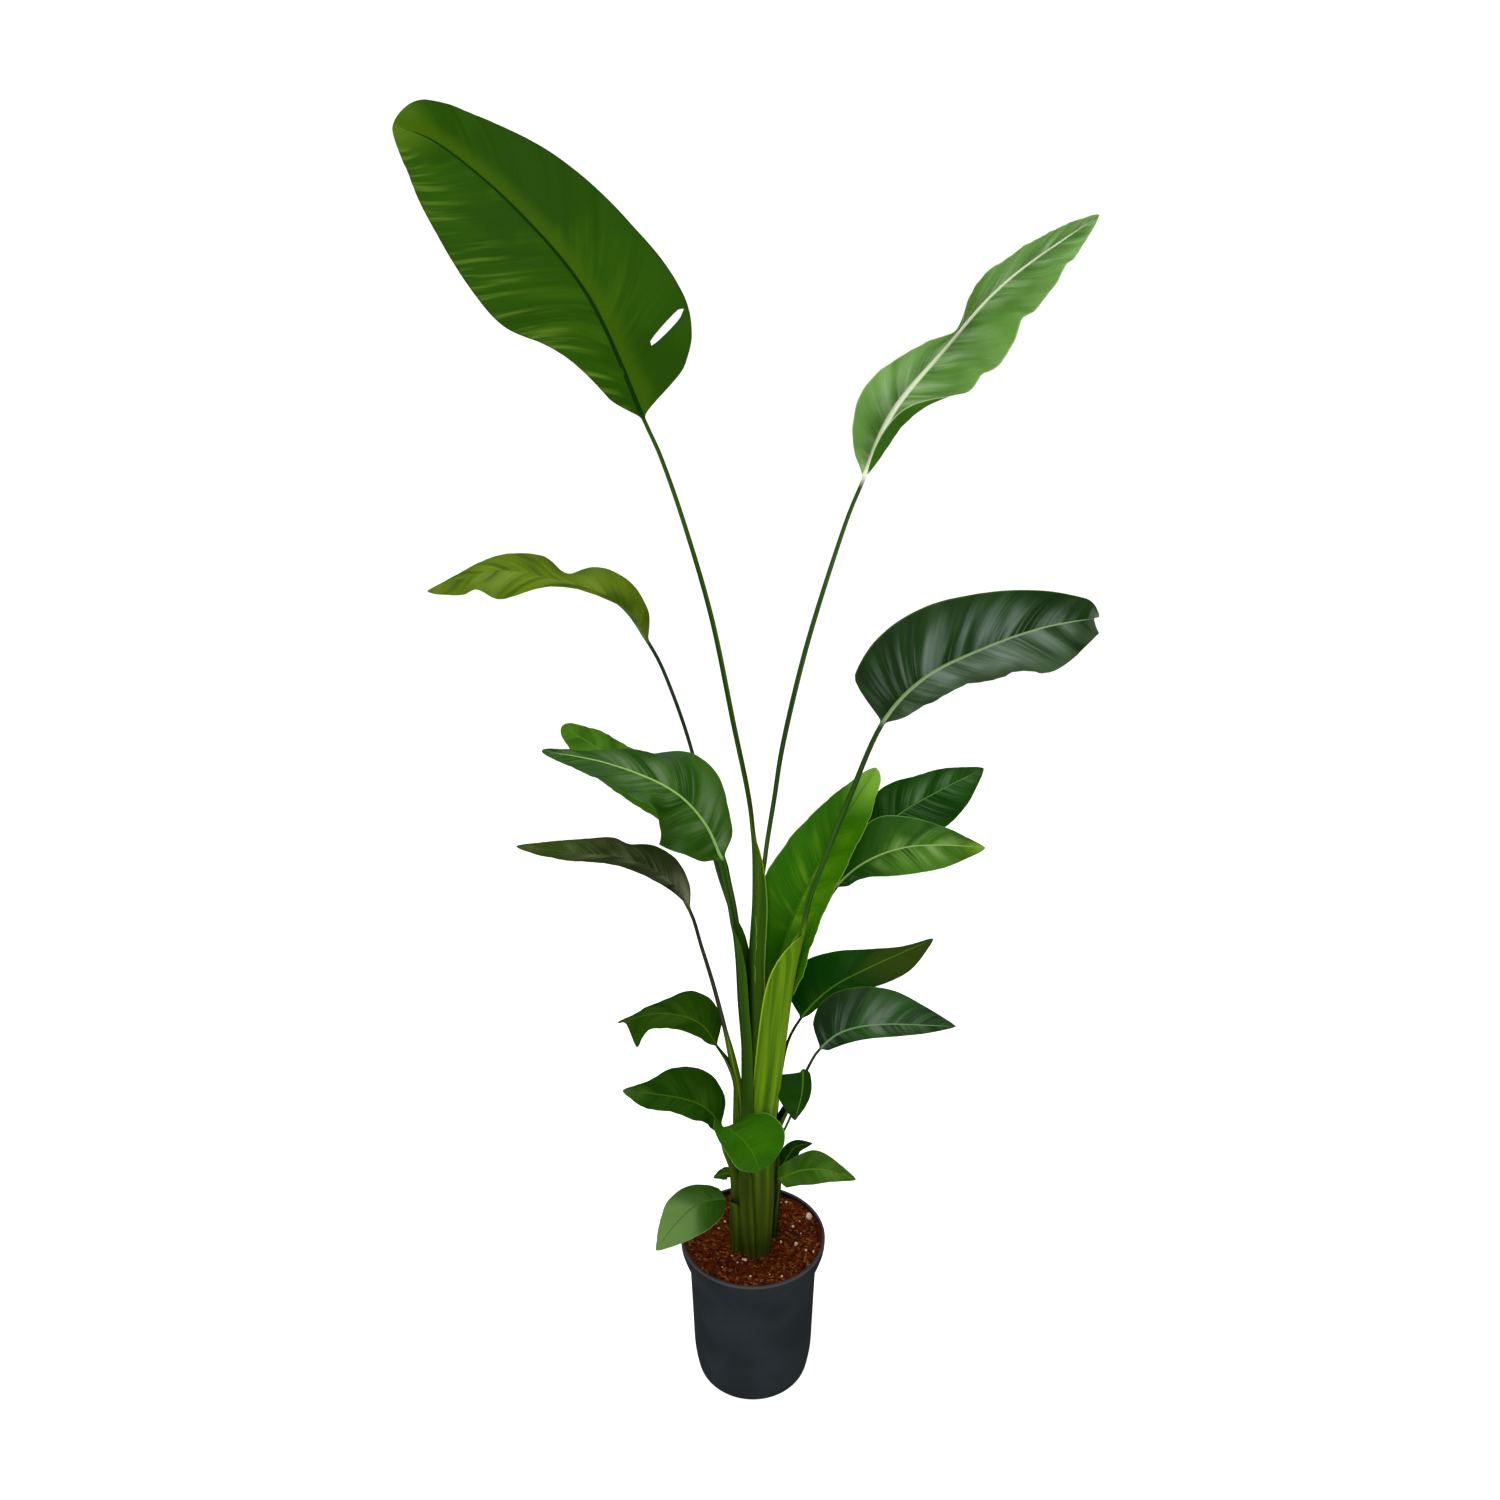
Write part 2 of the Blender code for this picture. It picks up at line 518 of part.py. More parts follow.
def cut_pocket(soil, name, shoot):
    """A blind hole in the soil, just wider than the shoot's outermost sheath."""
    top_layer = max(leaf.layer for leaf in LEAVES if leaf.shoot == name)
    radius = layer_radii(shoot, top_layer)[1] * SHOOT_SIZES[0] + POCKET_ROOM
    depth = PLANTED + GAP
    bpy.ops.mesh.primitive_cylinder_add(vertices=POCKET_SIDES, radius=radius, depth=2 * depth)
    cutter = bpy.context.object
    cutter.name = name + "_pocket_cutter"
    cutter.scale = (1, shoot.flat, 1)
    cutter.location = (shoot.x, shoot.y, SOIL_TOP)
    cutter.hide_render = True
    cutter.display_type = "WIRE"
    cut = soil.modifiers.new(name + "_pocket", "BOOLEAN")
    cut.operation = "DIFFERENCE"
    cut.object = cutter


def main():
    for obj in list(bpy.data.objects):
        bpy.data.objects.remove(obj)
    make_pot()
    make_soil()
    for leaf in LEAVES:
        make_leaf(leaf)


main()
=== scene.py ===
import math
import random
from typing import NamedTuple

import bmesh
import bpy
import numpy as np
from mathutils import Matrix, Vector, noise


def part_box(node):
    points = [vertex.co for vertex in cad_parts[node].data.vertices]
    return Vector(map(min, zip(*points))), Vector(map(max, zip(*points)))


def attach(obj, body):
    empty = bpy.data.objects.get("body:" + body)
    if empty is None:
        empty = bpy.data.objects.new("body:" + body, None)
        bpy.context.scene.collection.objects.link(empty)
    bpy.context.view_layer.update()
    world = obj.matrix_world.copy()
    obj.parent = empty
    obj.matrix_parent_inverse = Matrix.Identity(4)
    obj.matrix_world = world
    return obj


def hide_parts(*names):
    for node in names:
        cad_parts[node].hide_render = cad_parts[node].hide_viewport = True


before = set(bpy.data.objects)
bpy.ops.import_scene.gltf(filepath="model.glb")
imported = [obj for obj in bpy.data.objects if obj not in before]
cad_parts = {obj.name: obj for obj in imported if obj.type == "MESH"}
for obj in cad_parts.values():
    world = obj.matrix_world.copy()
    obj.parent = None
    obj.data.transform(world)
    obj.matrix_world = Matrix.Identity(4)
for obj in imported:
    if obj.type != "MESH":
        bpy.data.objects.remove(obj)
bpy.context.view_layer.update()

# Lengths are in metres, apart from those in the table of leaves, which are in millimetres.

# Leaves: shape

SOIL_TOP = 0.212
FOOT = SOIL_TOP - 0.015  # where the sheaths start, in the soil
LAYER_GAP = 0.0008       # between one sheath and the next
# How thick a shoot is at some heights, as a part of its full thickness
SHOOT_HEIGHTS = (SOIL_TOP, 0.26, 0.32, 0.58, 0.80)
SHOOT_SIZES = (0.72, 0.86, 0.94, 0.94, 0.50)
CORE_TAPER = 0.4         # how much thinner a core gets before its stalk leaves it
CORE_REACH = 88          # reach of a core's edges, degrees

LEFT = 180
RIGHT = 0

RIB_POINTS = 4           # steps from a blade's middle line to the edge of its midrib
HALF_POINTS = 16         # and on to the edge of the blade
SHEATH_STEP = 0.014
STALK_STEP = 0.014
BLADE_STEP = 0.0036
FEWEST_ROWS = 40
FEWEST_STALK_ROWS = 6
MOST_NARROWING = 0.9     # part of a stalk's length over which its sheath may narrow, at most
CURVE_SAMPLES = 24
BLADE_START = 0.05       # part of a blade's length over which the stalk flattens into it
END_ROWS = 0.4           # how much closer the rows are at the two ends of a blade
VEIN_SLOPE = 0.8         # how far a side vein runs to the tip for each metre to the edge
MOST_SLOPE = 0.2         # and at most, as a part of the blade's length
LAMINA = 0.0006          # thickness of a blade
EDGE_THINNING = 0.75     # how much thinner a sheath's wall is at its edges
STALK_TOP = 0.6          # height of a stalk's upper face, as a part of its half width
STALK_GROOVE = 0.45      # depth of the groove in it
GROOVE_WIDTH = 0.4
RIB_TAPER = 0.9          # how much thinner the midrib is at the tip
RIB_GROOVE = 0.35        # depth of the midrib's groove, as a part of its half width
RIB_KEEL = 1.1           # how far it stands out below
ROOT_PULL = 0.06         # how far below a stalk's start the point is that sets its direction
WAVE_PACES = (0.55, 1.0, 1.6)
RIPPLES = 45             # small waves in a metre of blade
RIPPLE_HEIGHT = 0.0014
SWELLS = 13              # broad waves in a metre of blade
SWELL_HEIGHT = 0.0025
CALM_ENDS = 0.15         # part of a blade at its two ends where the waves die out
TEAR_POINT = 0.1         # how wide a tear is at its narrow end, as a part of its gap


class Shoot(NamedTuple):
    """One plant of the clump, as in the CAD. Its sheaths are nested."""
    x: float
    y: float
    lean: float           # metres of x per metre of height
    core: float           # radius of the innermost sheath, which is solid
    wall: float           # thickness of the others
    flat: float = 0.85    # depth as a part of the width


class Half(NamedTuple):
    """Half a blade, from the midrib to one edge. Lists run evenly from the base to the tip."""
    width: tuple
    lift: tuple = (5, 0, 0)   # towards the upper side, degrees
    curl: tuple = (0, 0)      # how much more of it at the edge, degrees
    waves: tuple = ()         # each: where along the blade, how long, how many degrees more
    tears: tuple = ()         # each: where along the blade, from and to what part of its width, gap
    base: float = 0.04        # part of the length over which the base is rounded
    tip: float = 0.04


class Leaf(NamedTuple):
    """A leaf, as in the CAD, with its blade in detail."""
    name: str
    shoot: str
    layer: int                # 0 is the core of the shoot
    side: float               # the way it leaves the shoot, degrees from +X towards +Y
    opens: float              # height where the sheath starts to open
    leaves: float             # height where the stalk leaves the shoot
    rib: tuple                # the midrib's points, from the blade's base to its tip
    left: Half
    right: Half
    stalk: tuple = ()         # points between the shoot and the blade
    face: tuple = ((0, -1, 0.5), (0, -1, 0.5))    # where the upper side faces
    thick: tuple = (3, 2)                         # half thickness of the stalk's two ends
    wrap: tuple = ((88, 60), (88, 60))            # reach of the sheath's edges, degrees
    narrows: float = 80       # length over which the sheath turns into the stalk
    closing: int = 5          # how late in that length it narrows
    ripple: float = 1.0       # how strong the waves of the blade are


SHOOTS = {
    "main": Shoot(0.010, -0.017, 0.000, 0.0065, 0.0048),
    "left": Shoot(-0.0235, -0.010, 0.022, 0.0108, 0.0004),
    "back": Shoot(0.019, 0.034, 0.010, 0.0055, 0.0024),
    "right": Shoot(0.031, 0.010, 0.045, 0.0035, 0.0020),
}

# The lengths here are in millimetres
LEAVES = (
    # The main shoot
    Leaf("leaf_tall_right", "main", 0, RIGHT, opens=600, leaves=760,
         stalk=((12.5, -10, 813), (16, -6, 857), (27, -2, 928), (40, 0, 1011), (71, 0, 1145),
                (113, 0, 1285)),
         rib=((136, 0, 1345), (168, -10, 1425), (225, -10, 1495), (300, 0, 1575), (413, 30, 1653)),
         face=((0, -1, 0), (0, -1, 0)), thick=(5, 2.4), ripple=0.7,
         left=Half((20, 60, 60, 56, 38, 4), lift=(55, 42, 68, 66, 67, 60),
                   waves=((0.46, 0.12, 14),), base=0.12),
         right=Half((14, 58, 70, 59, 40, 3), lift=(62, 44, 30, 32, 38, 45),
                    curl=(150, 150, 20, 0, 0, 0),
                    waves=((0.42, 0.07, 14), (0.6, 0.07, 14), (0.8, 0.07, 12)), base=0.12)),
    Leaf("leaf_new_centre", "main", 1, RIGHT, opens=360, leaves=580,
         rib=((24, -17, 640), (59, -4, 764), (112, 15, 870), (168, 25, 965)),
         face=((0.1, -0.9, 0.1), (-0.1, -0.9, 0.1)), thick=(12, 8),
         left=Half((20, 38, 60, 53, 35, 6), lift=(35, 15, 20), base=0.02),
         right=Half((30, 43, 41, 41, 38, 16), lift=(60, 50, 50))),
    Leaf("leaf_tall_left", "main", 2, LEFT, opens=420, leaves=600,
         stalk=((-4.5, -16, 700), (1, -14, 800), (-2, -13, 910), (-27, -13, 1042), (-53, -14, 1174),
                (-84, -15, 1286), (-112, -18, 1370)),
         rib=((-133, -20, 1418), (-190, -35, 1550), (-265, -40, 1640), (-350, -30, 1710),
              (-412, -5, 1740)), face=((0, -1, 0), (0, -1, 0)), thick=(5, 2.4),
         wrap=((130, 118), (88, 80)), narrows=290,
         left=Half((13, 49, 98, 95, 66, 16), lift=(15, 5, 5), tip=0.08),
         right=Half((56, 98, 85, 72, 48, 27), lift=(15, 5, 5),
                    tears=((0.1325, 0.42, 0.93, 7),), base=0.15, tip=0.08)),
    Leaf("leaf_upper_right", "main", 3, RIGHT, opens=300, leaves=420,
         stalk=((38, -22, 500), (47, -30, 600), (55, -40, 680), (64, -48, 740), (74, -55, 805),
                (90, -60, 855), (124, -60, 950)),
         rib=((165, -45, 1045), (215, -50, 1105), (285, -50, 1142), (360, -45, 1168),
              (440, -20, 1178)), face=((-0.1, -0.9, 0.2), (0, -0.9, 0.2)), thick=(5.5, 3.2),
         wrap=((88, 88), (165, 155)), narrows=340, closing=9,
         left=Half((52, 74, 75, 61, 41, 20), lift=(10, 10, 10), base=0.1, tip=0.06),
         right=Half((20, 57, 64, 62, 50, 16), lift=(60, 50, 44, 28, 12, 10),
                    curl=(40, 50, 40, 0, 0), waves=((0.58, 0.16, 9),),
                    tears=((0.972, 0.05, 1, 16),), tip=0.02)),
    Leaf("leaf_mid_left_front", "main", 4, LEFT, opens=360, leaves=560,
         stalk=((-20, -23, 640), (-22, -25, 705), (-25.5, -29, 765), (-35.5, -32, 822)),
         rib=((-42, -37, 855), (-64, -55, 915), (-106, -70, 965), (-182, -75, 1000),
              (-268, -70, 1016)), face=((0.3, -0.6, 0.6), (0, -0.4, 0.9)), thick=(8.5, 6.2),
         wrap=((70, 66), (88, 80)), narrows=200,
         left=Half((12, 51, 63, 38, 24, 5), lift=(10, 0, 0),
                   waves=((0.3, 0.14, -30), (0.5, 0.12, 22)), base=0.12),
         right=Half((12, 36, 57, 36, 14, 5), lift=(20, 10, 0),
                    waves=((0.3, 0.2, 14), (0.55, 0.14, -12)), base=0.1)),
    Leaf("leaf_front_small", "main", 5, 202.5, opens=270, leaves=360,
         rib=((-44, -50, 450), (-22, -76, 457), (-3, -86, 440), (10, -88, 408)),
         face=((0.7, -0.5, 1), (0.2, -1, 0.2)), wrap=((52, 46), (88, 60)),
         left=Half((12, 43, 56, 38), tip=0.3),
         right=Half((10, 26, 30, 22), tip=0.3)),
    # The shoot on the left
    Leaf("leaf_lower_left", "left", 0, LEFT, opens=400, leaves=460,
         stalk=((-21.5, -11, 495), (-29, -12, 535), (-38, -15, 585), (-54, -22, 660),
                (-70, -30, 724)),
         rib=((-85, -35, 780), (-114, -45, 832), (-172, -50, 863), (-240, -48, 869),
              (-315, -40, 876)), face=((0.6, 0, 0.6), (0, 0, 1)), thick=(5.6, 3.4), narrows=120,
         ripple=0.3,
         left=Half((14, 44, 46, 40, 33, 6), lift=(5, 8, 4)),
         right=Half((16, 41, 44, 42, 27, 3), lift=(25, 15, 10), waves=((0.46, 0.14, -12),))),
    Leaf("leaf_low_left_upper", "left", 1, LEFT, opens=420, leaves=490, stalk=((-37, -14, 528),),
         rib=((-52, -20, 565), (-78, -30, 608), (-130, -35, 625), (-190, -35, 610)),
         face=((0.5, -0.5, 0.8), (0, -0.5, 0.9)),
         left=Half((3, 8, 13, 17, 20, 22, 22, 22, 22, 22, 22, 30, 44, 5, 1), base=0.1),
         right=Half((24, 41, 42, 22, 9, 2), base=0.02)),
    Leaf("leaf_low_left_lower", "left", 2, 210, opens=280, leaves=340, stalk=((-44, -30, 400),),
         rib=((-47, -40, 445), (-70, -50, 485), (-110, -60, 508), (-182, -70, 525)),
         face=((0.5, -0.5, 0.8), (0, -0.5, 0.9)),
         left=Half((10, 21, 25, 22, 21, 3), waves=((0.25, 0.16, 16),)),
         right=Half((18, 42, 51, 42, 18, 2))),
    Leaf("leaf_base_left", "left", 3, 225, opens=240, leaves=280,
         rib=((-40, -35, 318), (-78, -65, 335), (-109, -85, 320), (-139, -95, 281)),
         face=((0.2, -0.5, 0.8), (-0.5, -0.7, 0.5)),
         left=Half((10, 28, 36, 33, 20, 2)),
         right=Half((10, 20, 30, 30, 18, 2))),
    Leaf("leaf_base_left_back", "left", 4, 150, opens=230, leaves=260,
         rib=((-33, 10, 322), (-47, 12, 326), (-60, 12, 320)),
         face=((0, -0.5, 0.8), (-0.3, -0.7, 0.6)), thick=(2.5, 1.8),
         left=Half((4, 8, 6, 1)),
         right=Half((4, 8, 6, 1))),
    # The shoot at the back
    Leaf("leaf_mid_right_back", "back", 0, RIGHT, opens=450, leaves=580,
         stalk=((60, 45, 680), (105, 60, 755)),
         rib=((145, 70, 815), (205, 80, 875), (265, 85, 912), (330, 90, 945)),
         face=((-0.3, -0.8, 0.5), (0, -0.8, 0.6)), thick=(3.5, 2.5),
         left=Half((10, 30, 45, 36, 24, 3)),
         right=Half((16, 38, 49, 50, 36, 3))),
    Leaf("leaf_upper_left", "back", 1, LEFT, opens=450, leaves=580,
         stalk=((-10, 34, 640), (-29, 38, 740), (-53, 40, 825), (-82, 46, 976), (-115, 50, 1080)),
         rib=((-140, 45, 1135), (-175, 30, 1188), (-230, 15, 1215), (-325, 0, 1235),
              (-415, -10, 1210)), face=((0.6, 0, 0.6), (0, 0, 1)), thick=(4.2, 3.4), ripple=0.3,
         left=Half((10, 46, 60, 62, 38, 5), lift=(12, 8, 0, -42, -40),
                   waves=((0.8, 0.1, 22),)),
         right=Half((24, 53, 53, 62, 41, 7), lift=(32, 26, 18, 14, 10),
                    waves=((0.44, 0.14, -18),))),
    Leaf("leaf_mid_right_front", "back", 2, RIGHT, opens=400, leaves=540,
         stalk=((60, 30, 655), (92, 32, 732)),
         rib=((118, 30, 788), (158, 25, 828), (210, 15, 853), (265, 5, 860), (318, 0, 858)),
         face=((-0.3, -0.8, 0.5), (0, -0.8, 0.6)), thick=(3.5, 2.5),
         left=Half((6, 28, 50, 38, 21, 2)),
         right=Half((8, 19, 34, 37, 27, 3), lift=(20, 0, 0))),
    Leaf("leaf_mid_left_back", "back", 3, LEFT, opens=380, leaves=500,
         stalk=((-7, 24, 630), (-27, 28, 746), (-48, 28, 822)),
         rib=((-65, 20, 862), (-125, 15, 930), (-195, 15, 985), (-258, 20, 1025)),
         face=((0.4, -0.4, 0.8), (0, -0.5, 0.8)), thick=(3.5, 2.5),
         left=Half((12, 33, 43, 43, 36, 10)),
         right=Half((8, 25, 33, 34, 28, 10))),
    Leaf("leaf_low_right_upper", "back", 4, RIGHT, opens=340, leaves=420, stalk=((47, 22, 530),),
         rib=((70, 25, 583), (112, 30, 628), (168, 30, 662), (260, 35, 705)),
         face=((-0.3, -0.8, 0.5), (0, -0.8, 0.6)),
         left=Half((40, 54, 42, 24, 8, 2)),
         right=Half((4, 10, 20, 29, 26, 2))),
    Leaf("leaf_low_right_lower", "back", 5, RIGHT, opens=300, leaves=380,
         stalk=((60, 8, 460), (80, -4, 520)),
         rib=((96, -15, 557), (128, -30, 594), (183, -42, 612), (280, -55, 616)),
         face=((-0.3, -0.8, 0.5), (0, -0.8, 0.6)),
         left=Half((16, 49, 53, 45, 25, 2)),
         right=Half((6, 15, 17, 16, 11, 1))),
    # The small shoot on the right
    Leaf("leaf_low_right_hanging", "right", 0, RIGHT, opens=320, leaves=380,
         stalk=((56, -14, 450),), rib=((70, -22, 525), (70, -31, 495), (60, -38, 455)),
         face=((-0.2, -0.6, 1), (0.2, -1, 0.2)),
         left=Half((8, 12, 9, 1)),
         right=Half((30, 38, 30, 2), base=0.02)),
    Leaf("leaf_base_right", "right", 1, RIGHT, opens=260, leaves=310,
         rib=((38, 0, 325), (70, -5, 345), (108, -15, 354), (152, -25, 345)),
         face=((0, -0.7, 0.6), (0.2, -0.7, 0.6)),
         left=Half((12, 18, 26, 14, 2)),
         right=Half((12, 18, 20, 13, 1))),
    Leaf("leaf_base_right_back", "right", 2, 80, opens=250, leaves=290,
         rib=((40, 22, 318), (53, 30, 343), (67, 36, 358), (91, 40, 360)),
         face=((0, -0.8, 0.4), (0.3, -0.8, 0.4)), thick=(2.5, 2),
         left=Half((10, 14, 9, 1)),
         right=Half((8, 13, 10, 1))),
)


def metres(values):
    return np.array(values, float) / 1000


def half_in_metres(half):
    tears = tuple((where, start, end, gap / 1000) for where, start, end, gap in half.tears)
    return half._replace(width=metres(half.width), tears=tears)


def in_metres(leaf):
    """A leaf of the table with its lengths in metres."""
    lengths = {name: metres(getattr(leaf, name))
               for name in ("opens", "leaves", "rib", "stalk", "thick", "narrows")}
    return leaf._replace(left=half_in_metres(leaf.left), right=half_in_metres(leaf.right), **lengths)


# Curves and directions

def unit(v):
    v = np.asarray(v, float)
    return v / np.linalg.norm(v, axis=-1, keepdims=True)


def ease(t):
    t = np.clip(t, 0, 1)
    return t * t * (3 - 2 * t)


def cubic(a, b, c, d, f):
    """The smooth curve through four points in a row, from the second to the third."""
    return 0.5 * (2 * b + (c - a) * f + (2 * a - 5 * b + 4 * c - d) * f ** 2
                  + (3 * b - a - 3 * c + d) * f ** 3)


def smooth(values, t):
    """A smooth line through a few even values, at t from 0 to 1."""
    v = np.array(values, float)
    v = np.concatenate([[2 * v[0] - v[1]], v, [2 * v[-1] - v[-2]]])
    x = np.clip(t, 0, 1) * (len(values) - 1)
    i = np.minimum(np.asarray(x).astype(int), len(values) - 2)
    f = x - i if v.ndim == 1 else (x - i)[..., None]
    return cubic(v[i], v[i + 1], v[i + 2], v[i + 3], f)


class Path:
    """A smooth curve through points, measured along its length."""

    def __init__(self, before, points, after):
        p = np.array([before, *points, after], float)
        f = np.linspace(0, 1, CURVE_SAMPLES, endpoint=False)[:, None]
        parts = [cubic(*p[i:i + 4], f) for i in range(len(p) - 3)]
        self.points = np.concatenate([*parts, p[-2:-1]])
        steps = np.linalg.norm(np.diff(self.points, axis=0), axis=1)
        self.run = np.concatenate([[0], np.cumsum(steps)])
        self.length = float(self.run[-1])
        around = np.concatenate([p[:1], self.points, p[-1:]])
        self.ways = unit(around[2:] - around[:-2])

    def at(self, t):
        """Place and way of the curve at parts t of its length."""
        s = np.clip(t, 0, 1) * self.length
        place = [np.interp(s, self.run, self.points[:, k]) for k in range(3)]
        way = [np.interp(s, self.run, self.ways[:, k]) for k in range(3)]
        return np.stack(place, -1), unit(np.stack(way, -1))


def across_and_out(way, face):
    """To the right, and out of the upper face, where a leaf runs this way."""
    out = unit(face - np.sum(face * way, -1, keepdims=True) * way)
    return np.cross(way, out), out


def wavy(draw, x):
    """Sine waves of random phase added up, about one to each unit of x, from -1 to 1."""
    turns = [draw.uniform(0, 2 * math.pi) for pace in WAVE_PACES]
    waves = [np.sin(2 * math.pi * pace * x + turn) for pace, turn in zip(WAVE_PACES, turns)]
    return sum(waves) / len(waves)


# Sheath and stalk: rows of points from the left edge of the leaf to its right one
#
# Each row is its points on the upper and the lower face, its stage and its run. The stage is -2
# at the foot, -1 where the stalk starts, and 0 to 1 on the blade. The run is how far up the leaf
# the row is, from where the stalk leaves the shoot.

SPREAD = np.linspace(-1, 1, 2 * (RIB_POINTS + HALF_POINTS) + 1)


def shoot_axis(shoot, z):
    return np.array([shoot.x + shoot.lean * (z - SOIL_TOP), shoot.y, z])


def layer_radii(shoot, layer):
    """Inner and outer radius of a layer."""
    if layer == 0:
        return 0.0, shoot.core
    inner = shoot.core + LAYER_GAP * layer + shoot.wall * (layer - 1)
    return inner, inner + shoot.wall


def outward(leaf):
    a = math.radians(leaf.side)
    return np.array([math.cos(a), math.sin(a), 0.0])


def core_faces(out, across, radius):
    """Inner and outer face of the core of a shoot."""
    turn = np.radians(CORE_REACH * SPREAD)[:, None]
    rim = across * radius * np.sin(turn)
    bulge = out * radius * np.cos(turn)
    return rim - bulge, rim + bulge


def wall_faces(out, across, inner, outer, left, right):
    """Inner and outer face of a sheath whose edges reach left and right, in degrees."""
    turn = np.radians(np.where(SPREAD < 0, left, right) * SPREAD)[:, None]
    thin = EDGE_THINNING * (outer - inner) * np.abs(SPREAD[:, None]) ** 4
    around = out * np.cos(turn) + across * np.sin(turn)
    middle = out * (inner + outer) / 2
    return around * (inner + thin) - middle, around * outer - middle


def sheath_row(shoot, leaf, z):
    """Middle of the sheath, and its inner and outer face as offsets from there."""
    inner, outer = layer_radii(shoot, leaf.layer)
    size = float(np.interp(z, SHOOT_HEIGHTS, SHOOT_SIZES))
    open_part = float(ease((z - leaf.opens) / (leaf.leaves - leaf.opens)))
    flat = size * np.array([1, shoot.flat, 1])
    out = outward(leaf)
    across = np.cross((0, 0, 1), -out)
    if leaf.layer == 0:
        middle = 0 * out
        faces = core_faces(out, across, outer * (1 - CORE_TAPER * open_part))
    else:
        middle = out * (inner + outer) / 2
        reach = (low + (high - low) * open_part for low, high in leaf.wrap)
        faces = wall_faces(out, across, inner, outer, *reach)
    return shoot_axis(shoot, z) + middle * flat, [face * flat for face in faces]


def sheath_stage(leaf, run):
    return -2 + (leaf.leaves + run - FOOT) / (leaf.leaves + leaf.narrows - FOOT)


def sheath_rows(shoot, leaf):
    """Rows from the foot to where the stalk leaves the shoot."""
    rows = []
    count = round((leaf.leaves - FOOT) / SHEATH_STEP)
    for z in np.linspace(FOOT, leaf.leaves, count + 1):
        middle, faces = sheath_row(shoot, leaf, float(z))
        run = z - leaf.leaves
        rows.append(([middle + face for face in faces], sheath_stage(leaf, run), run))
    return rows


def stalk_faces(half):
    """Upper and lower face of a stalk, half round with a groove on top: across and out."""
    turn = np.radians(90 * SPREAD)
    groove = STALK_GROOVE * np.exp(-(SPREAD / GROOVE_WIDTH) ** 2)
    across = half * np.sin(turn)
    return (across, half * (STALK_TOP * np.cos(turn) - groove)), (across, -half * np.cos(turn))


def stalk_rows(leaf, stalk, sheath_faces):
    """Rows between the shoot and the blade, where the sheath turns into the stalk."""
    rows = []
    narrows = min(leaf.narrows, MOST_NARROWING * stalk.length)
    count = max(FEWEST_STALK_ROWS, round(stalk.length / STALK_STEP))
    for t in np.linspace(0, 1, count + 1)[1:-1]:
        place, way = stalk.at(t)
        face = smooth((-outward(leaf), unit(leaf.face[0])), np.array(ease(t)))
        across, out = across_and_out(way, face)
        run = t * stalk.length
        closed = run / narrows
        turned = min(1, closed) ** leaf.closing
        faces = []
        half = leaf.thick[0] + (leaf.thick[1] - leaf.thick[0]) * t
        for (x, y), old in zip(stalk_faces(half), sheath_faces):
            new = across * x[:, None] + out * y[:, None]
            faces.append(place + old * (1 - turned) + new * turned)
        if closed < 1:
            stage = sheath_stage(leaf, run)
        else:
            stage = -1 + (closed - 1) / (stalk.length / narrows - 1)
        rows.append((faces, stage, run))
    return rows


# Blades

def rib_half(leaf, t):
    """Half width of the midrib, which tapers from the stalk's to almost nothing."""
    return leaf.thick[1] * (1 - RIB_TAPER * t ** 0.8)


def blade_times(leaf, length):
    """Where along the blade its rows leave the midrib, with one each side of a tear."""
    n = max(FEWEST_ROWS, round(length / BLADE_STEP))
    even = np.linspace(0, 1, n + 1)
    times = (1 - END_ROWS) * even + END_ROWS * (1 - np.cos(math.pi * even)) / 2
    for where, start, end, gap in (*leaf.left.tears, *leaf.right.tears):
        edge = gap / length / 2
        times = times[abs(times - where) > edge + 0.3 / n]
        times = np.sort([*times, where - edge, where + edge])
    return times


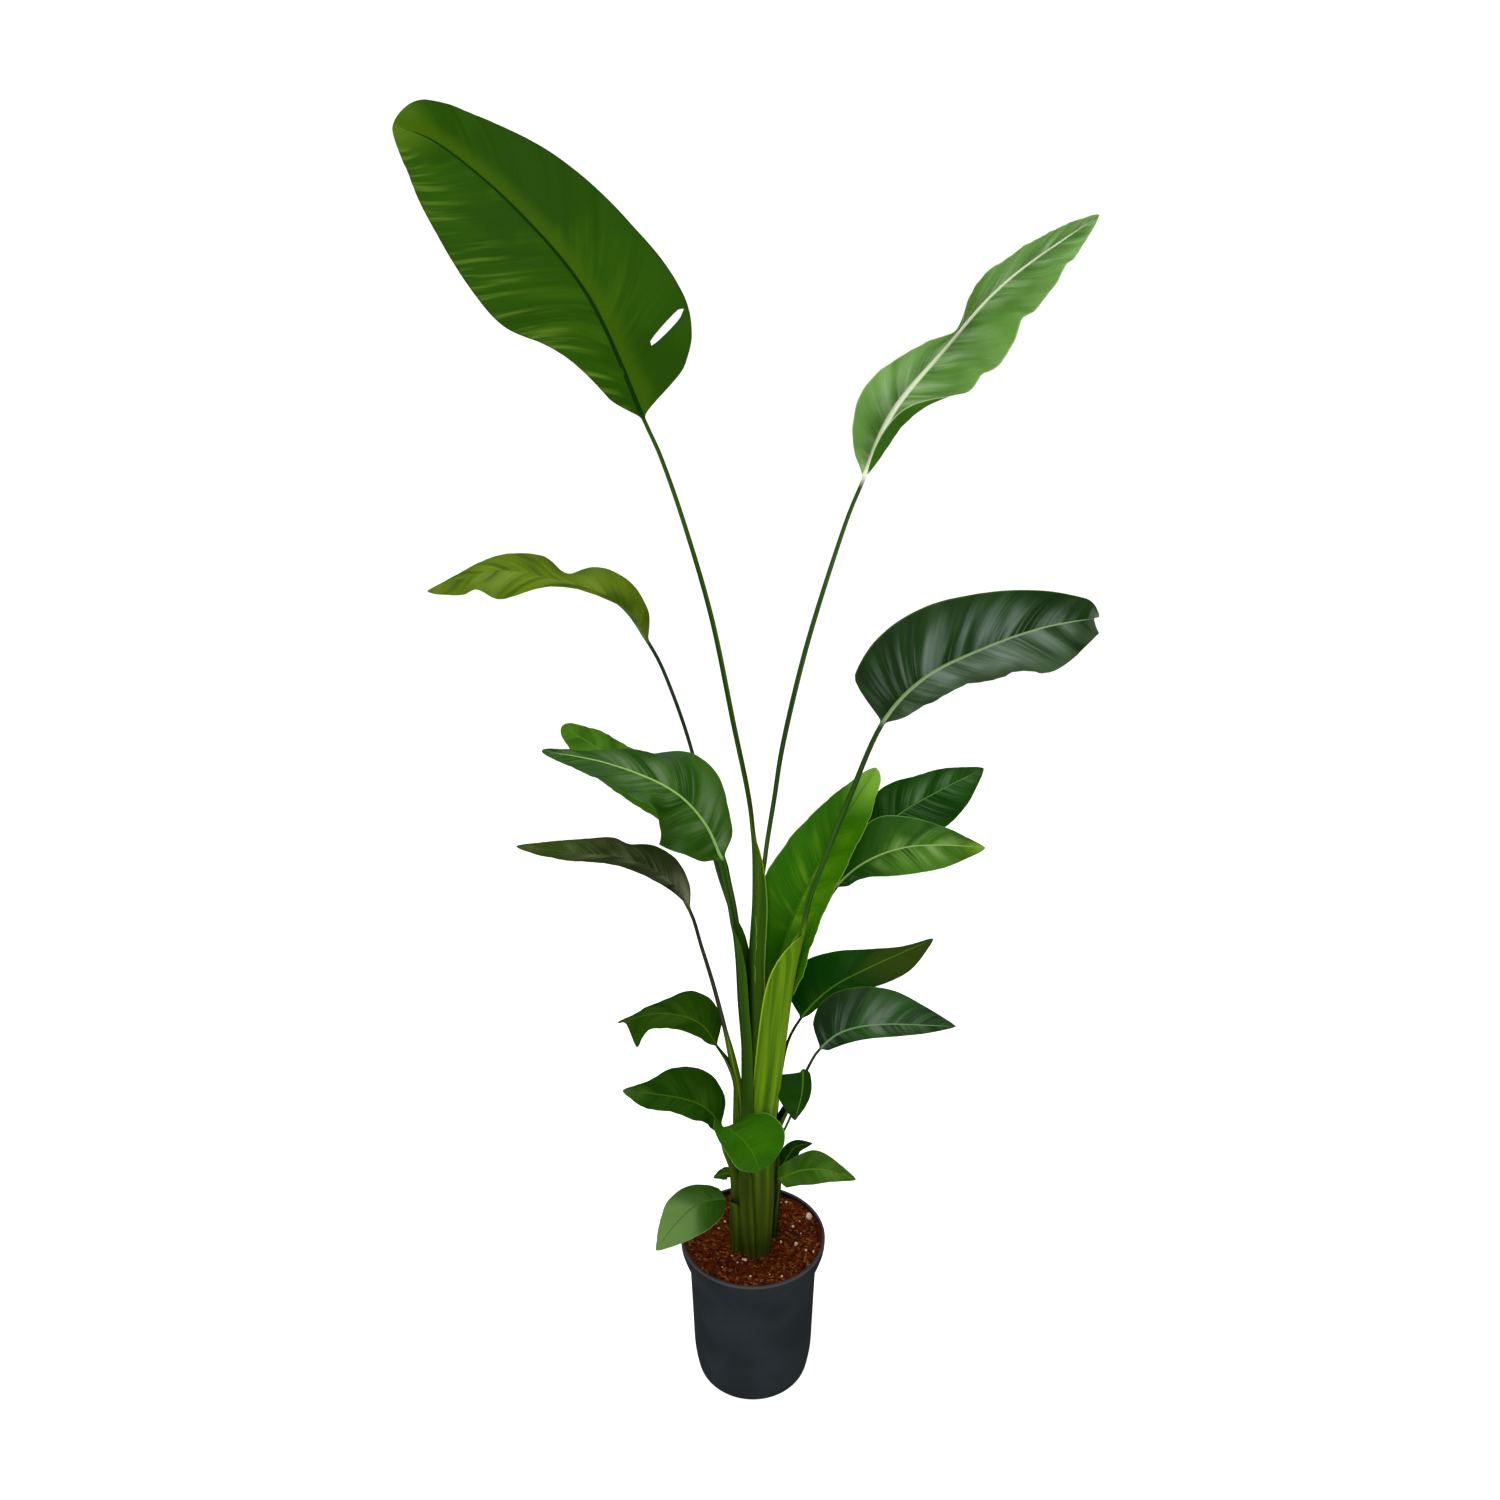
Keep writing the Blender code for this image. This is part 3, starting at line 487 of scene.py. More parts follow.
class HalfBlade:
    """Half a blade as a grid of points: a row at each of the times, from the midrib to the edge.

    The rows follow the side veins, which lean towards the tip. The hand is -1 on the left.
    """

    def __init__(self, leaf, half, hand, rib, times):
        self.leaf = leaf
        self.half = half
        self.hand = hand
        self.rib = rib
        self.times = times[:, None]
        self.part = np.linspace(0, 1, HALF_POINTS + 1)[None, :]
        self.start = self.pinched()
        self.slope = min(VEIN_SLOPE * max(half.width) / rib.length, MOST_SLOPE)
        self.t = self.start + self.slope * self.part * 4 * self.start * (1 - self.start)

    def pinched(self):
        """Rows at a tear come together at its inner end, and at its outer one in the blade."""
        moved = self.times + 0 * self.part
        for where, start, end, gap in self.half.tears:
            along = np.clip((self.part - start) / (end - start), 0, 1)
            wide = along if end >= 1 else (4 * along * (1 - along)) ** 0.3
            off = self.times - where
            at_tear = abs(off) < gap / self.rib.length / 2 * 1.01
            moved = np.where(at_tear, where + off * np.maximum(wide, TEAR_POINT), moved)
        return moved

    def missing(self):
        """Which cells are missing at a tear, from the midrib outwards."""
        part = (np.arange(HALF_POINTS) + 0.5) / HALF_POINTS
        middle = (self.times[1:] + self.times[:-1]) / 2
        cells = np.zeros((len(middle), HALF_POINTS), bool)
        for where, start, end, gap in self.half.tears:
            at_tear = abs(middle - where) < 0.1 * gap / self.rib.length
            cells |= at_tear & (part > start) & (part < end)
        return np.pad(cells, ((0, 0), (RIB_POINTS, 0)))

    def width(self):
        """Width of the half, rounded off at its two ends."""
        base = 1 - np.clip(1 - self.t / self.half.base, 0, 1) ** 2
        tip = 1 - np.clip(1 - (1 - self.t) / self.half.tip, 0, 1) ** 2
        return np.maximum(smooth(self.half.width, self.t), 0) * np.sqrt(base * tip)

    def angle(self, part):
        """How steep the half is at a part of its width, towards its upper side, in radians."""
        lift = smooth(self.half.lift, self.t)
        for where, long, more in self.half.waves:
            lift = lift + more * np.exp(-((self.t - where) / long * 2) ** 2)
        return np.radians(lift + smooth(self.half.curl, self.t) * part ** 2)

    def bent(self):
        """How far out and up the half has come at each part of its width, for a width of 1."""
        reach, rise = np.zeros_like(self.t), np.zeros_like(self.t)
        for k in range(HALF_POINTS):
            middle = (k + 0.5) / HALF_POINTS
            angle = self.angle(middle)
            further = (self.part[0] > middle) / HALF_POINTS
            reach += further * np.cos(angle)
            rise += further * np.sin(angle)
        return reach, rise

    def bumps(self, draw):
        """Height of the ripples and swells, which follow the side veins."""
        along = self.times * self.rib.length
        height = RIPPLE_HEIGHT * self.part ** 0.7 * wavy(draw, RIPPLES * along)
        height = height + SWELL_HEIGHT * self.part ** 1.5 * wavy(draw, SWELLS * along)
        # smaller where the rows come together
        spacing = np.minimum(1 + self.slope * self.part * 4 * (1 - 2 * self.start), 1)
        fade = ease(self.t / CALM_ENDS) * ease((1 - self.t) / CALM_ENDS)
        return self.leaf.ripple * fade * spacing * height

    def sheet(self, draw):
        """Upper and lower face outside the midrib."""
        place, way = self.rib.at(self.t)
        across, out = across_and_out(way, smooth(self.leaf.face, self.t))
        across = self.hand * across
        width = self.width()
        reach, rise = self.bent()
        angle = self.angle(self.part)[..., None]
        normal = out * np.cos(angle) - across * np.sin(angle)
        sheet = (place + across * (rib_half(self.leaf, self.t) + width * reach)[..., None]
                 + out * (width * rise)[..., None] + normal * self.bumps(draw)[..., None])
        slant = np.cross(np.gradient(sheet, axis=1), np.gradient(sheet, axis=0))
        slant = slant * np.sign(np.sum(slant * normal, axis=-1, keepdims=True))
        thick = LAMINA / 2 * (1 - 0.5 * self.part ** 4)[..., None]
        skin = thick * unit(slant + 1e-8 * normal)
        return sheet + skin, sheet - skin

    def midrib(self):
        """Upper and lower face of half the midrib: a shallow groove above, a keel below."""
        step = np.linspace(0, 1, RIB_POINTS, endpoint=False)[None, :]
        start = self.start[:, :1]
        t = start + 0 * step
        place, way = self.rib.at(t)
        across, out = across_and_out(way, smooth(self.leaf.face, t))
        size = rib_half(self.leaf, start)
        side = place + self.hand * across * (size * step)[..., None]
        above = LAMINA / 2 - RIB_GROOVE * size * (1 - step ** 2)
        below = -LAMINA / 2 - RIB_KEEL * size * np.sqrt(1 - step ** 2)
        return side + out * above[..., None], side + out * below[..., None]

    def faces(self, draw):
        """Upper and lower face from the midrib's middle to the edge."""
        pairs = zip(self.midrib(), self.sheet(draw))
        return [np.concatenate(pair, axis=1) for pair in pairs]


def blade_faces(leaf, rib, times, halves):
    """Upper and lower face of a blade. At its base the stalk flattens into it."""
    draw = random.Random(leaf.name)
    left, right = (half.faces(draw) for half in halves)
    place, way = rib.at(times[:, None])
    across, out = across_and_out(way, smooth(leaf.face, times[:, None]))
    start = ease(times / BLADE_START)[:, None, None]
    faces = []
    for a, b, (x, y) in zip(left, right, stalk_faces(leaf.thick[1])):
        blade = np.concatenate([a[:, :0:-1], b], axis=1)
        stalk = place + across * x[:, None] + out * y[:, None]
        faces.append(stalk * (1 - start) + blade * start)
    return faces


def leaf_surface(leaf):
    """A leaf's points on its upper and lower face, its missing cells, and its rows' stages and
    runs, from where the blade starts."""
    shoot = SHOOTS[leaf.shoot]
    rows = sheath_rows(shoot, leaf)
    middle, faces = sheath_row(shoot, leaf, float(leaf.leaves))
    before = middle - np.array((shoot.lean, 0, 1)) * ROOT_PULL
    stalk = Path(before, (middle, *leaf.stalk, leaf.rib[0]), leaf.rib[1])
    rows += stalk_rows(leaf, stalk, faces)
    last = leaf.stalk[-1] if len(leaf.stalk) else middle
    rib = Path(last, leaf.rib, 2 * leaf.rib[-1] - leaf.rib[-2])
    times = blade_times(leaf, rib.length)
    halves = [HalfBlade(leaf, leaf.left, -1, rib, times), HalfBlade(leaf, leaf.right, 1, rib, times)]
    below, stages, runs = zip(*rows)
    upper, lower = (np.concatenate([np.array(low), blade])
                    for low, blade in zip(zip(*below), blade_faces(leaf, rib, times, halves)))
    left, right = (half.missing() for half in halves)
    missing = np.pad(np.concatenate([left[:, ::-1], right], axis=1), ((len(rows), 0), (0, 0)))
    stage = np.array([*stages, *times])
    run = np.array([*runs, *(stalk.length + times * rib.length)]) - stalk.length
    return upper, lower, missing, stage, run


# Meshes

def new_object(name, vertices, faces, *materials):
    mesh = bpy.data.meshes.new(name)
    mesh.from_pydata([tuple(v) for v in vertices], [], faces)
    for material in materials:
        mesh.materials.append(material)
    obj = bpy.data.objects.new(name, mesh)
    bpy.context.collection.objects.link(obj)
    return obj


def finish_mesh(obj, sharp=50):
    """No loose points, faces point out, and all but the sharp edges are smooth."""
    mesh = obj.data
    bm = bmesh.new()
    bm.from_mesh(mesh)
    loose = [v for v in bm.verts if not v.link_faces]
    bmesh.ops.delete(bm, geom=loose, context="VERTS")
    bmesh.ops.recalc_face_normals(bm, faces=bm.faces)
    bm.to_mesh(mesh)
    bm.free()
    mesh.shade_smooth()
    mesh.set_sharp_from_angle(angle=math.radians(sharp))


def add_uv(mesh, name, per_vertex):
    layer = mesh.uv_layers.new(name=name)
    corners = np.empty(len(mesh.loops), np.int32)
    mesh.loops.foreach_get("vertex_index", corners)
    layer.uv.foreach_set("vector", np.asarray(per_vertex, np.float32)[corners].ravel())


def open_edges(present):
    """Edges of a grid of cells that have a cell on one side only, as pairs of grid points."""
    padded = np.pad(present, 1)
    across = padded[:-1, 1:-1] != padded[1:, 1:-1]
    along = padded[1:-1, :-1] != padded[1:-1, 1:]
    return ([((r, c), (r, c + 1)) for r, c in zip(*np.nonzero(across))]
            + [((r, c), (r + 1, c)) for r, c in zip(*np.nonzero(along))])


def leaf_faces(present, below):
    """Faces over a leaf's cells, above, below and round the edges, and each one's material."""
    rows, columns = present.shape
    number = np.arange((rows + 1) * (columns + 1)).reshape(rows + 1, columns + 1)
    faces, slots = [], []
    for r, c in zip(*np.nonzero(present)):
        a, b, d, e = number[r, c], number[r, c + 1], number[r + 1, c + 1], number[r + 1, c]
        faces += [(a, b, d, e), (a + below, e + below, d + below, b + below)]
        slots += [0, 1]
    for one, other in open_edges(present):
        a, b = number[one], number[other]
        faces.append((a, b, b + below, a + below))
        slots.append(1)
    return faces, slots


def make_leaf(leaf, upper_material, lower_material):
    """One closed mesh from the foot of the sheath to the tip of the blade."""
    upper, lower, missing, stage, run = leaf_surface(leaf)
    rows, columns = upper.shape[:2]
    faces, slots = leaf_faces(~missing, rows * columns)
    vertices = np.concatenate([upper.reshape(-1, 3), lower.reshape(-1, 3)])
    obj = new_object(leaf.name + "_detail", vertices, faces, upper_material, lower_material)
    obj.data.polygons.foreach_set("material_index", slots)
    spread = np.broadcast_to(SPREAD, (rows, columns))
    middle = upper[:, columns // 2:columns // 2 + 1]
    reach = np.linalg.norm(upper - middle, axis=-1) * np.sign(spread)
    for name, u, v in (("spread_stage", spread, stage), ("metres", reach, run)):
        uv = np.stack([u, np.broadcast_to(v[:, None], u.shape)], -1).reshape(-1, 2)
        add_uv(obj.data, name, np.concatenate([uv, uv]))
    finish_mesh(obj)
    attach(obj, "root")
    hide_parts(leaf.name)


def ring(radius, z, count):
    """Points round the +Z axis; only one where the radius is 0."""
    turns = [2 * math.pi * i / count for i in range(count if radius else 1)]
    return [(radius * math.cos(a), radius * math.sin(a), z) for a in turns]


def turned_mesh(rings):
    """Vertices and faces of rings of points round an axis, from one closed end to the other."""
    vertices = [point for points in rings for point in points]
    starts = np.cumsum([0] + [len(points) for points in rings])
    loops = [range(a, b) for a, b in zip(starts, starts[1:])]
    faces = []
    for a, b in zip(loops, loops[1:]):
        for i in range(max(len(a), len(b))):
            if len(a) == 1:
                faces.append((a[0], b[i - 1], b[i]))
            elif len(b) == 1:
                faces.append((a[i - 1], a[i], b[0]))
            else:
                faces.append((a[i - 1], a[i], b[i], b[i - 1]))
    return vertices, faces


# Materials

class Value:
    """A number or colour that a node gives, in a material being built."""

    def __init__(self, nodes, socket):
        self.nodes = nodes
        self.socket = socket

    def __mul__(self, other):
        return self.nodes.math("MULTIPLY", self, other)

    def __add__(self, other):
        return self.nodes.math("ADD", self, other)

    def __truediv__(self, other):
        return self.nodes.math("DIVIDE", self, other)

    def __abs__(self):
        return self.nodes.math("ABSOLUTE", self)


class Nodes:
    """Short names for building a material's nodes."""

    def __init__(self, name):
        self.material = bpy.data.materials.new(name)
        self.material.use_nodes = True
        self.tree = self.material.node_tree
        self.shader = self.tree.nodes["Principled BSDF"]

    def add(self, kind, inputs, output=0, **settings):
        """A node's output. Inputs are Values, numbers or colours, by name or number."""
        node = self.tree.nodes.new("ShaderNode" + kind)
        for key, value in settings.items():
            setattr(node, key, value)
        for key, value in inputs.items():
            self.link(value, node.inputs[key])
        return Value(self, node.outputs[output])

    def link(self, source, target):
        if isinstance(source, Value):
            self.tree.links.new(source.socket, target)
        elif isinstance(source, tuple) and len(source) == 3:
            target.default_value = (*source, 1)
        else:
            target.default_value = source

    def math(self, operation, *values):
        return self.add("Math", dict(enumerate(values)), operation=operation)

    def step(self, value, low, high):
        """0 at low, 1 at high, smooth in between."""
        inputs = {"Value": value, "From Min": min(low, high), "From Max": max(low, high),
                  "To Min": float(low > high), "To Max": float(low < high)}
        return self.add("MapRange", inputs, "Result", interpolation_type="SMOOTHSTEP")

    def mix(self, share, a, b):
        return self.add("Mix", {"Factor": share, 6: a, 7: b}, 2, data_type="RGBA")

    def split(self, vector):
        """X, Y and Z of a vector."""
        first = self.add("SeparateXYZ", {0: vector})
        return [Value(self, output) for output in first.socket.node.outputs]

    def uv(self, name):
        return self.split(self.add("UVMap", {}, uv_map=name))[:2]

    def place(self):
        return self.add("TexCoord", {}, "Object")

    def noise(self, vector, scale, detail=2.0, rough=0.5):
        inputs = {"Vector": vector, "Scale": scale, "Detail": detail, "Roughness": rough}
        return self.add("TexNoise", inputs, "Fac")

    def stretched_noise(self, u, v, seed, detail=2.0):
        return self.noise(self.add("CombineXYZ", {"X": u, "Y": v, "Z": seed}), 1.0, detail)

    def finish(self, colour, rough, gloss, bump, distance, strength):
        """Connects the shader and gives the material."""
        inputs = {"Height": bump, "Distance": distance, "Strength": strength}
        self.link(self.add("Bump", inputs, "Normal"), self.shader.inputs["Normal"])
        self.link(colour, self.shader.inputs["Base Color"])
        self.link(rough, self.shader.inputs["Roughness"])
        self.link(gloss, self.shader.inputs["Specular IOR Level"])
        return self.material


class Look(NamedTuple):
    """How a leaf is coloured, linear RGB. Where there is None, the blade's colour stays."""
    blade: tuple
    dark: tuple                    # the dark stripes between side veins, and the painted shade in patches and creases
    light: tuple                   # the painted sheen, in light stripes along the side veins
    rib: tuple
    edge: tuple = (0.060, 0.150, 0.012)
    tip: tuple = None              # the last part of the blade, on some leaves a painted highlight
    beside: tuple = None           # a soft band on the right of the midrib
    left: tuple = None             # the left half, on leaf_new_centre darker as painted shade
    tip_from: float = 0.8
    base: tuple = None             # the first part of the blade, on some leaves darker as painted shade
    base_to: float = 0.35
    stalk: tuple = ((0.010, 0.040, 0.001), (0.028, 0.090, 0.003))
    sheath: tuple = ((0.013, 0.044, 0.001), (0.038, 0.095, 0.001))
    sheath_edge: tuple = (0.130, 0.260, 0.010)
    stripes: float = 0.5           # how strong the stripes are, and the painted sheen in them
    streaks: float = 0.0           # how strong the painted highlight in streaks near the left edge is
    rib_width: float = 0.0016
    rough: float = 0.42
    gloss: float = 0.12            # specular level


# The painted highlight in streaks near a blade's left edge
STREAK_HIGHLIGHT = (0.120, 0.220, 0.018)
FOOT_DARK = (0.022, 0.032, 0.001)
FOOT_LIGHT = (0.050, 0.085, 0.001)
# Noise along the side veins: marks in a metre outwards and in a metre along the blade
BROAD_STRIPES = (7.0, 38.0)
FINE_STRIPES = (10.0, 220.0)
# the painted shade in creases
CREASE_SHADES = (6.0, 120.0)
# the painted highlight in streaks
HIGHLIGHT_STREAKS = (8.0, 130.0)
# and up a stalk and a sheath
STALK_LINES = (420.0, 5.0)
SHEATH_LINES = (170.0, 3.0)
FINE_VEIN = 0.0030       # metres from one fine side vein to the next
VEIN_BUMP = 0.15         # height of a fine vein, as a part of that of the fine stripes
BASE_START = 0.12        # part of the blade where the zone at its base starts to fade
BESIDE_WIDTH = 0.034     # of the soft band beside the midrib


class LeafPlace:
    """Where a point is on a leaf, and the patches there, which place painted shade and sheen and
    vary the roughness.
    """

    def __init__(self, n, seed):
        self.n = n
        self.seed = seed
        self.spread, self.stage = n.uv("spread_stage")
        self.across, self.along = n.uv("metres")
        self.reach = abs(self.across)
        self.part = abs(self.spread)
        self.on_left = n.step(self.across, 0.0005, -0.0005)
        self.patch = n.noise(n.place(), 8.0 + seed % 3, 3.0)
        # the rows of the mesh come together at the tip, where fine lines would be too fine to see
        self.near_tip = n.step(self.stage, 0.95, 0.65)
        self.fine = self.stripes(FINE_STRIPES)

    def stripes(self, marks, detail=2.0):
        """Noise in stripes along the side veins.

        The rows of the mesh follow the veins, so along is the same all the way out.
        """
        out, on = marks
        side = self.n.math("MULTIPLY_ADD", self.on_left, 3.7, self.seed)
        return self.n.stretched_noise(self.reach * out, self.along * on, side, detail)

    def lines(self, marks, seed):
        """Noise in lines up the stalk."""
        out, on = marks
        return self.n.stretched_noise(self.across * out, self.along * on, seed)


def striped(n, at, look):
    """The colours of the blade's halves and base, with painted shade in patches and creases, dark
    stripes, and painted sheen in light stripes and fine lines.
    """
    broad = at.stripes(BROAD_STRIPES)
    colour = look.blade
    if look.left:
        colour = n.mix(at.on_left, colour, look.left)
    # A zone at the base, on some leaves darker as painted shade
    if look.base:
        near = n.step(n.math("MULTIPLY_ADD", broad, 0.2, at.stage), look.base_to + 0.1, BASE_START)
        colour = n.mix(near, colour, look.base)
    # Painted shade in patches
    colour = n.mix(n.step(at.patch, 0.60, 0.36) * 0.6, colour, look.dark)
    colour = n.mix(n.step(broad, 0.52, 0.30) * look.stripes, colour, look.dark)
    # the painted sheen in light stripes fades towards the edge, and between patches
    shine = n.step(at.part, 1.0, 0.35) * n.step(at.patch, 0.36, 0.56) * look.stripes
    colour = n.mix(n.step(broad, 0.46, 0.70) * shine, colour, look.light)
    # and painted sheen in fine lines, fading near the tip
    thin = shine * at.near_tip * 0.6
    colour = n.mix(n.step(at.fine, 0.46, 0.72) * thin, colour, look.light)
    # Painted shade in the creases, strongest near the midrib
    crease_shade = n.step(at.stripes(CREASE_SHADES), 0.40, 0.27) * n.step(at.part, 0.9, 0.1)
    return n.mix(crease_shade * 0.7, colour, look.dark)


def marked(n, at, look, colour):
    """Over the stripes: a painted highlight in streaks, the tip, a band beside the midrib, the edge
    and the midrib. On some leaves the tip is a painted highlight; leaf_tall_left's midrib is painted
    shade, and leaf_tall_right's carries a painted highlight.
    """
    # Painted highlight in streaks near the left edge
    if look.streaks:
        highlight_streak = n.step(at.stripes(HIGHLIGHT_STREAKS, 4.0), 0.46, 0.72)
        share = highlight_streak * n.step(at.part, 0.40, 0.90) * at.on_left
        colour = n.mix(share * look.streaks, colour, STREAK_HIGHLIGHT)
    # The colour of the tip, on some leaves a painted highlight
    if look.tip:
        at_tip = n.step(at.stage, look.tip_from, look.tip_from + 0.2)
        colour = n.mix(at_tip * 0.8, colour, look.tip)
    if look.beside:
        band = n.step(at.across, BESIDE_WIDTH, 0.006) * n.step(at.across, 0.0, 0.003)
        colour = n.mix(band * 0.75, colour, look.beside)
    colour = n.mix(n.step(at.part, 0.97, 1.0) * 0.6, colour, look.edge)
    # the midrib gets thinner towards the tip
    rib = n.math("MULTIPLY_ADD", at.stage, -0.75, 1.0) * look.rib_width
    on_rib = n.step(at.reach / rib, 1.3, 0.7) * n.step(at.stage, 1.02, 0.85)
    return n.mix(on_rib, colour, look.rib)


def with_stalk(n, at, look, blade):
    """The blade's colour, with the stalk's and the sheath's below it. Both have long lines."""
    height = n.split(n.place())[2]
    lines = at.lines(STALK_LINES, at.seed)
    streaks = at.lines(SHEATH_LINES, at.seed + 5)
    stem = n.mix(n.step(lines, 0.35, 0.65), *look.stalk)
    sheath = n.mix(n.step(streaks, 0.24, 0.74), *look.sheath)
    foot = n.mix(n.step(streaks, 0.20, 0.78), FOOT_DARK, FOOT_LIGHT)
    sheath = n.mix(n.step(height, 0.50, 0.30), sheath, foot)
    edge = n.step(at.part, 0.91, 0.98) * n.step(height, 0.38, 0.52)
    sheath = n.mix(edge, sheath, look.sheath_edge)
    colour = n.mix(n.step(at.stage, -0.90, -1.05), stem, sheath)
    return n.mix(n.step(at.stage, 0.03, -0.02), blade, colour)


def leaf_material(name, look, seed):
    """A leaf's blade, stalk and sheath."""
    n = Nodes(name)
    at = LeafPlace(n, seed)
    colour = with_stalk(n, at, look, marked(n, at, look, striped(n, at, look)))
    veins = n.math("SINE", at.along * (2 * math.pi / FINE_VEIN))
    height = veins * n.step(at.stage, 0.0, 0.05) * at.near_tip * VEIN_BUMP
    height = at.fine * at.near_tip + height
    rough = n.math("MULTIPLY_ADD", at.patch, 0.25, look.rough - 0.125)
    rough = n.math("MULTIPLY_ADD", n.step(at.stage, 0.02, -0.02), 0.25, rough)
    return n.finish(colour, rough, look.gloss, bump=height, distance=0.0004, strength=0.5)


LIP_HIGHLIGHT_HEIGHT = 0.0035       # height of the band of painted highlight along the pot's lip


def pot_material():
    n = Nodes("pot_plastic")
    place = n.place()
    grain = n.noise(place, 900.0)
    patch = n.noise(place, 14.0, 3.0)
    colour = n.mix(n.step(patch, 0.3, 0.75), (0.0110, 0.0165, 0.0190), (0.0165, 0.0235, 0.0270))
    # A painted highlight along the lip
    lip_highlight = n.step(n.split(place)[2], POT_HEIGHT - LIP_HIGHLIGHT_HEIGHT, POT_HEIGHT - LIP_HIGHLIGHT_HEIGHT + 0.002)
    colour = n.mix(lip_highlight, colour, (0.058, 0.058, 0.060))
    rough = n.math("MULTIPLY_ADD", patch, 0.2, 0.42)
    return n.finish(colour, rough, gloss=0.12, bump=grain, distance=0.0002, strength=0.35)


def soil_material():
    n = Nodes("soil_coir")
    place = n.place()
    lumps = n.noise(place, 150.0, 4.0, 0.7)
    grains = n.noise(place, 430.0, 3.0, 0.7)
    colour = n.mix(n.step(lumps, 0.38, 0.60), (0.028, 0.003, 0.001), (0.132, 0.021, 0.003))
    colour = n.mix(n.step(grains, 0.56, 0.72), colour, (0.380, 0.105, 0.022))
    return n.finish(colour, 0.9, gloss=0.05, bump=grains, distance=0.0015, strength=0.9)


def grain_material(name, light, dark, rough):
    n = Nodes(name)
    spots = n.noise(n.place(), 700.0, 3.0, 0.6)
    colour = n.mix(n.step(spots, 0.35, 0.65), dark, light)
    return n.finish(colour, rough, gloss=0.05, bump=spots, distance=0.0005, strength=0.6)


DEEP = Look(blade=(0.02, 0.074, 0.001), dark=(0.012, 0.048, 0.001), light=(0.04, 0.11, 0.002),
            rib=(0.06, 0.14, 0.006), gloss=0.03)
BLUE = Look(blade=(0.014, 0.038, 0.01), dark=(0.007, 0.022, 0.004), light=(0.1, 0.15, 0.1),
            rib=(0.19, 0.34, 0.1), stripes=0.8, rough=0.38, gloss=0.4)
FRESH = Look(blade=(0.04, 0.13, 0.003), dark=(0.016, 0.07, 0.001), light=(0.11, 0.22, 0.02),
             rib=(0.17, 0.31, 0.05), edge=(0.25, 0.43, 0.12), gloss=0.08)
BROWN_STALK = ((0.016, 0.02, 0.008), (0.04, 0.05, 0.022))

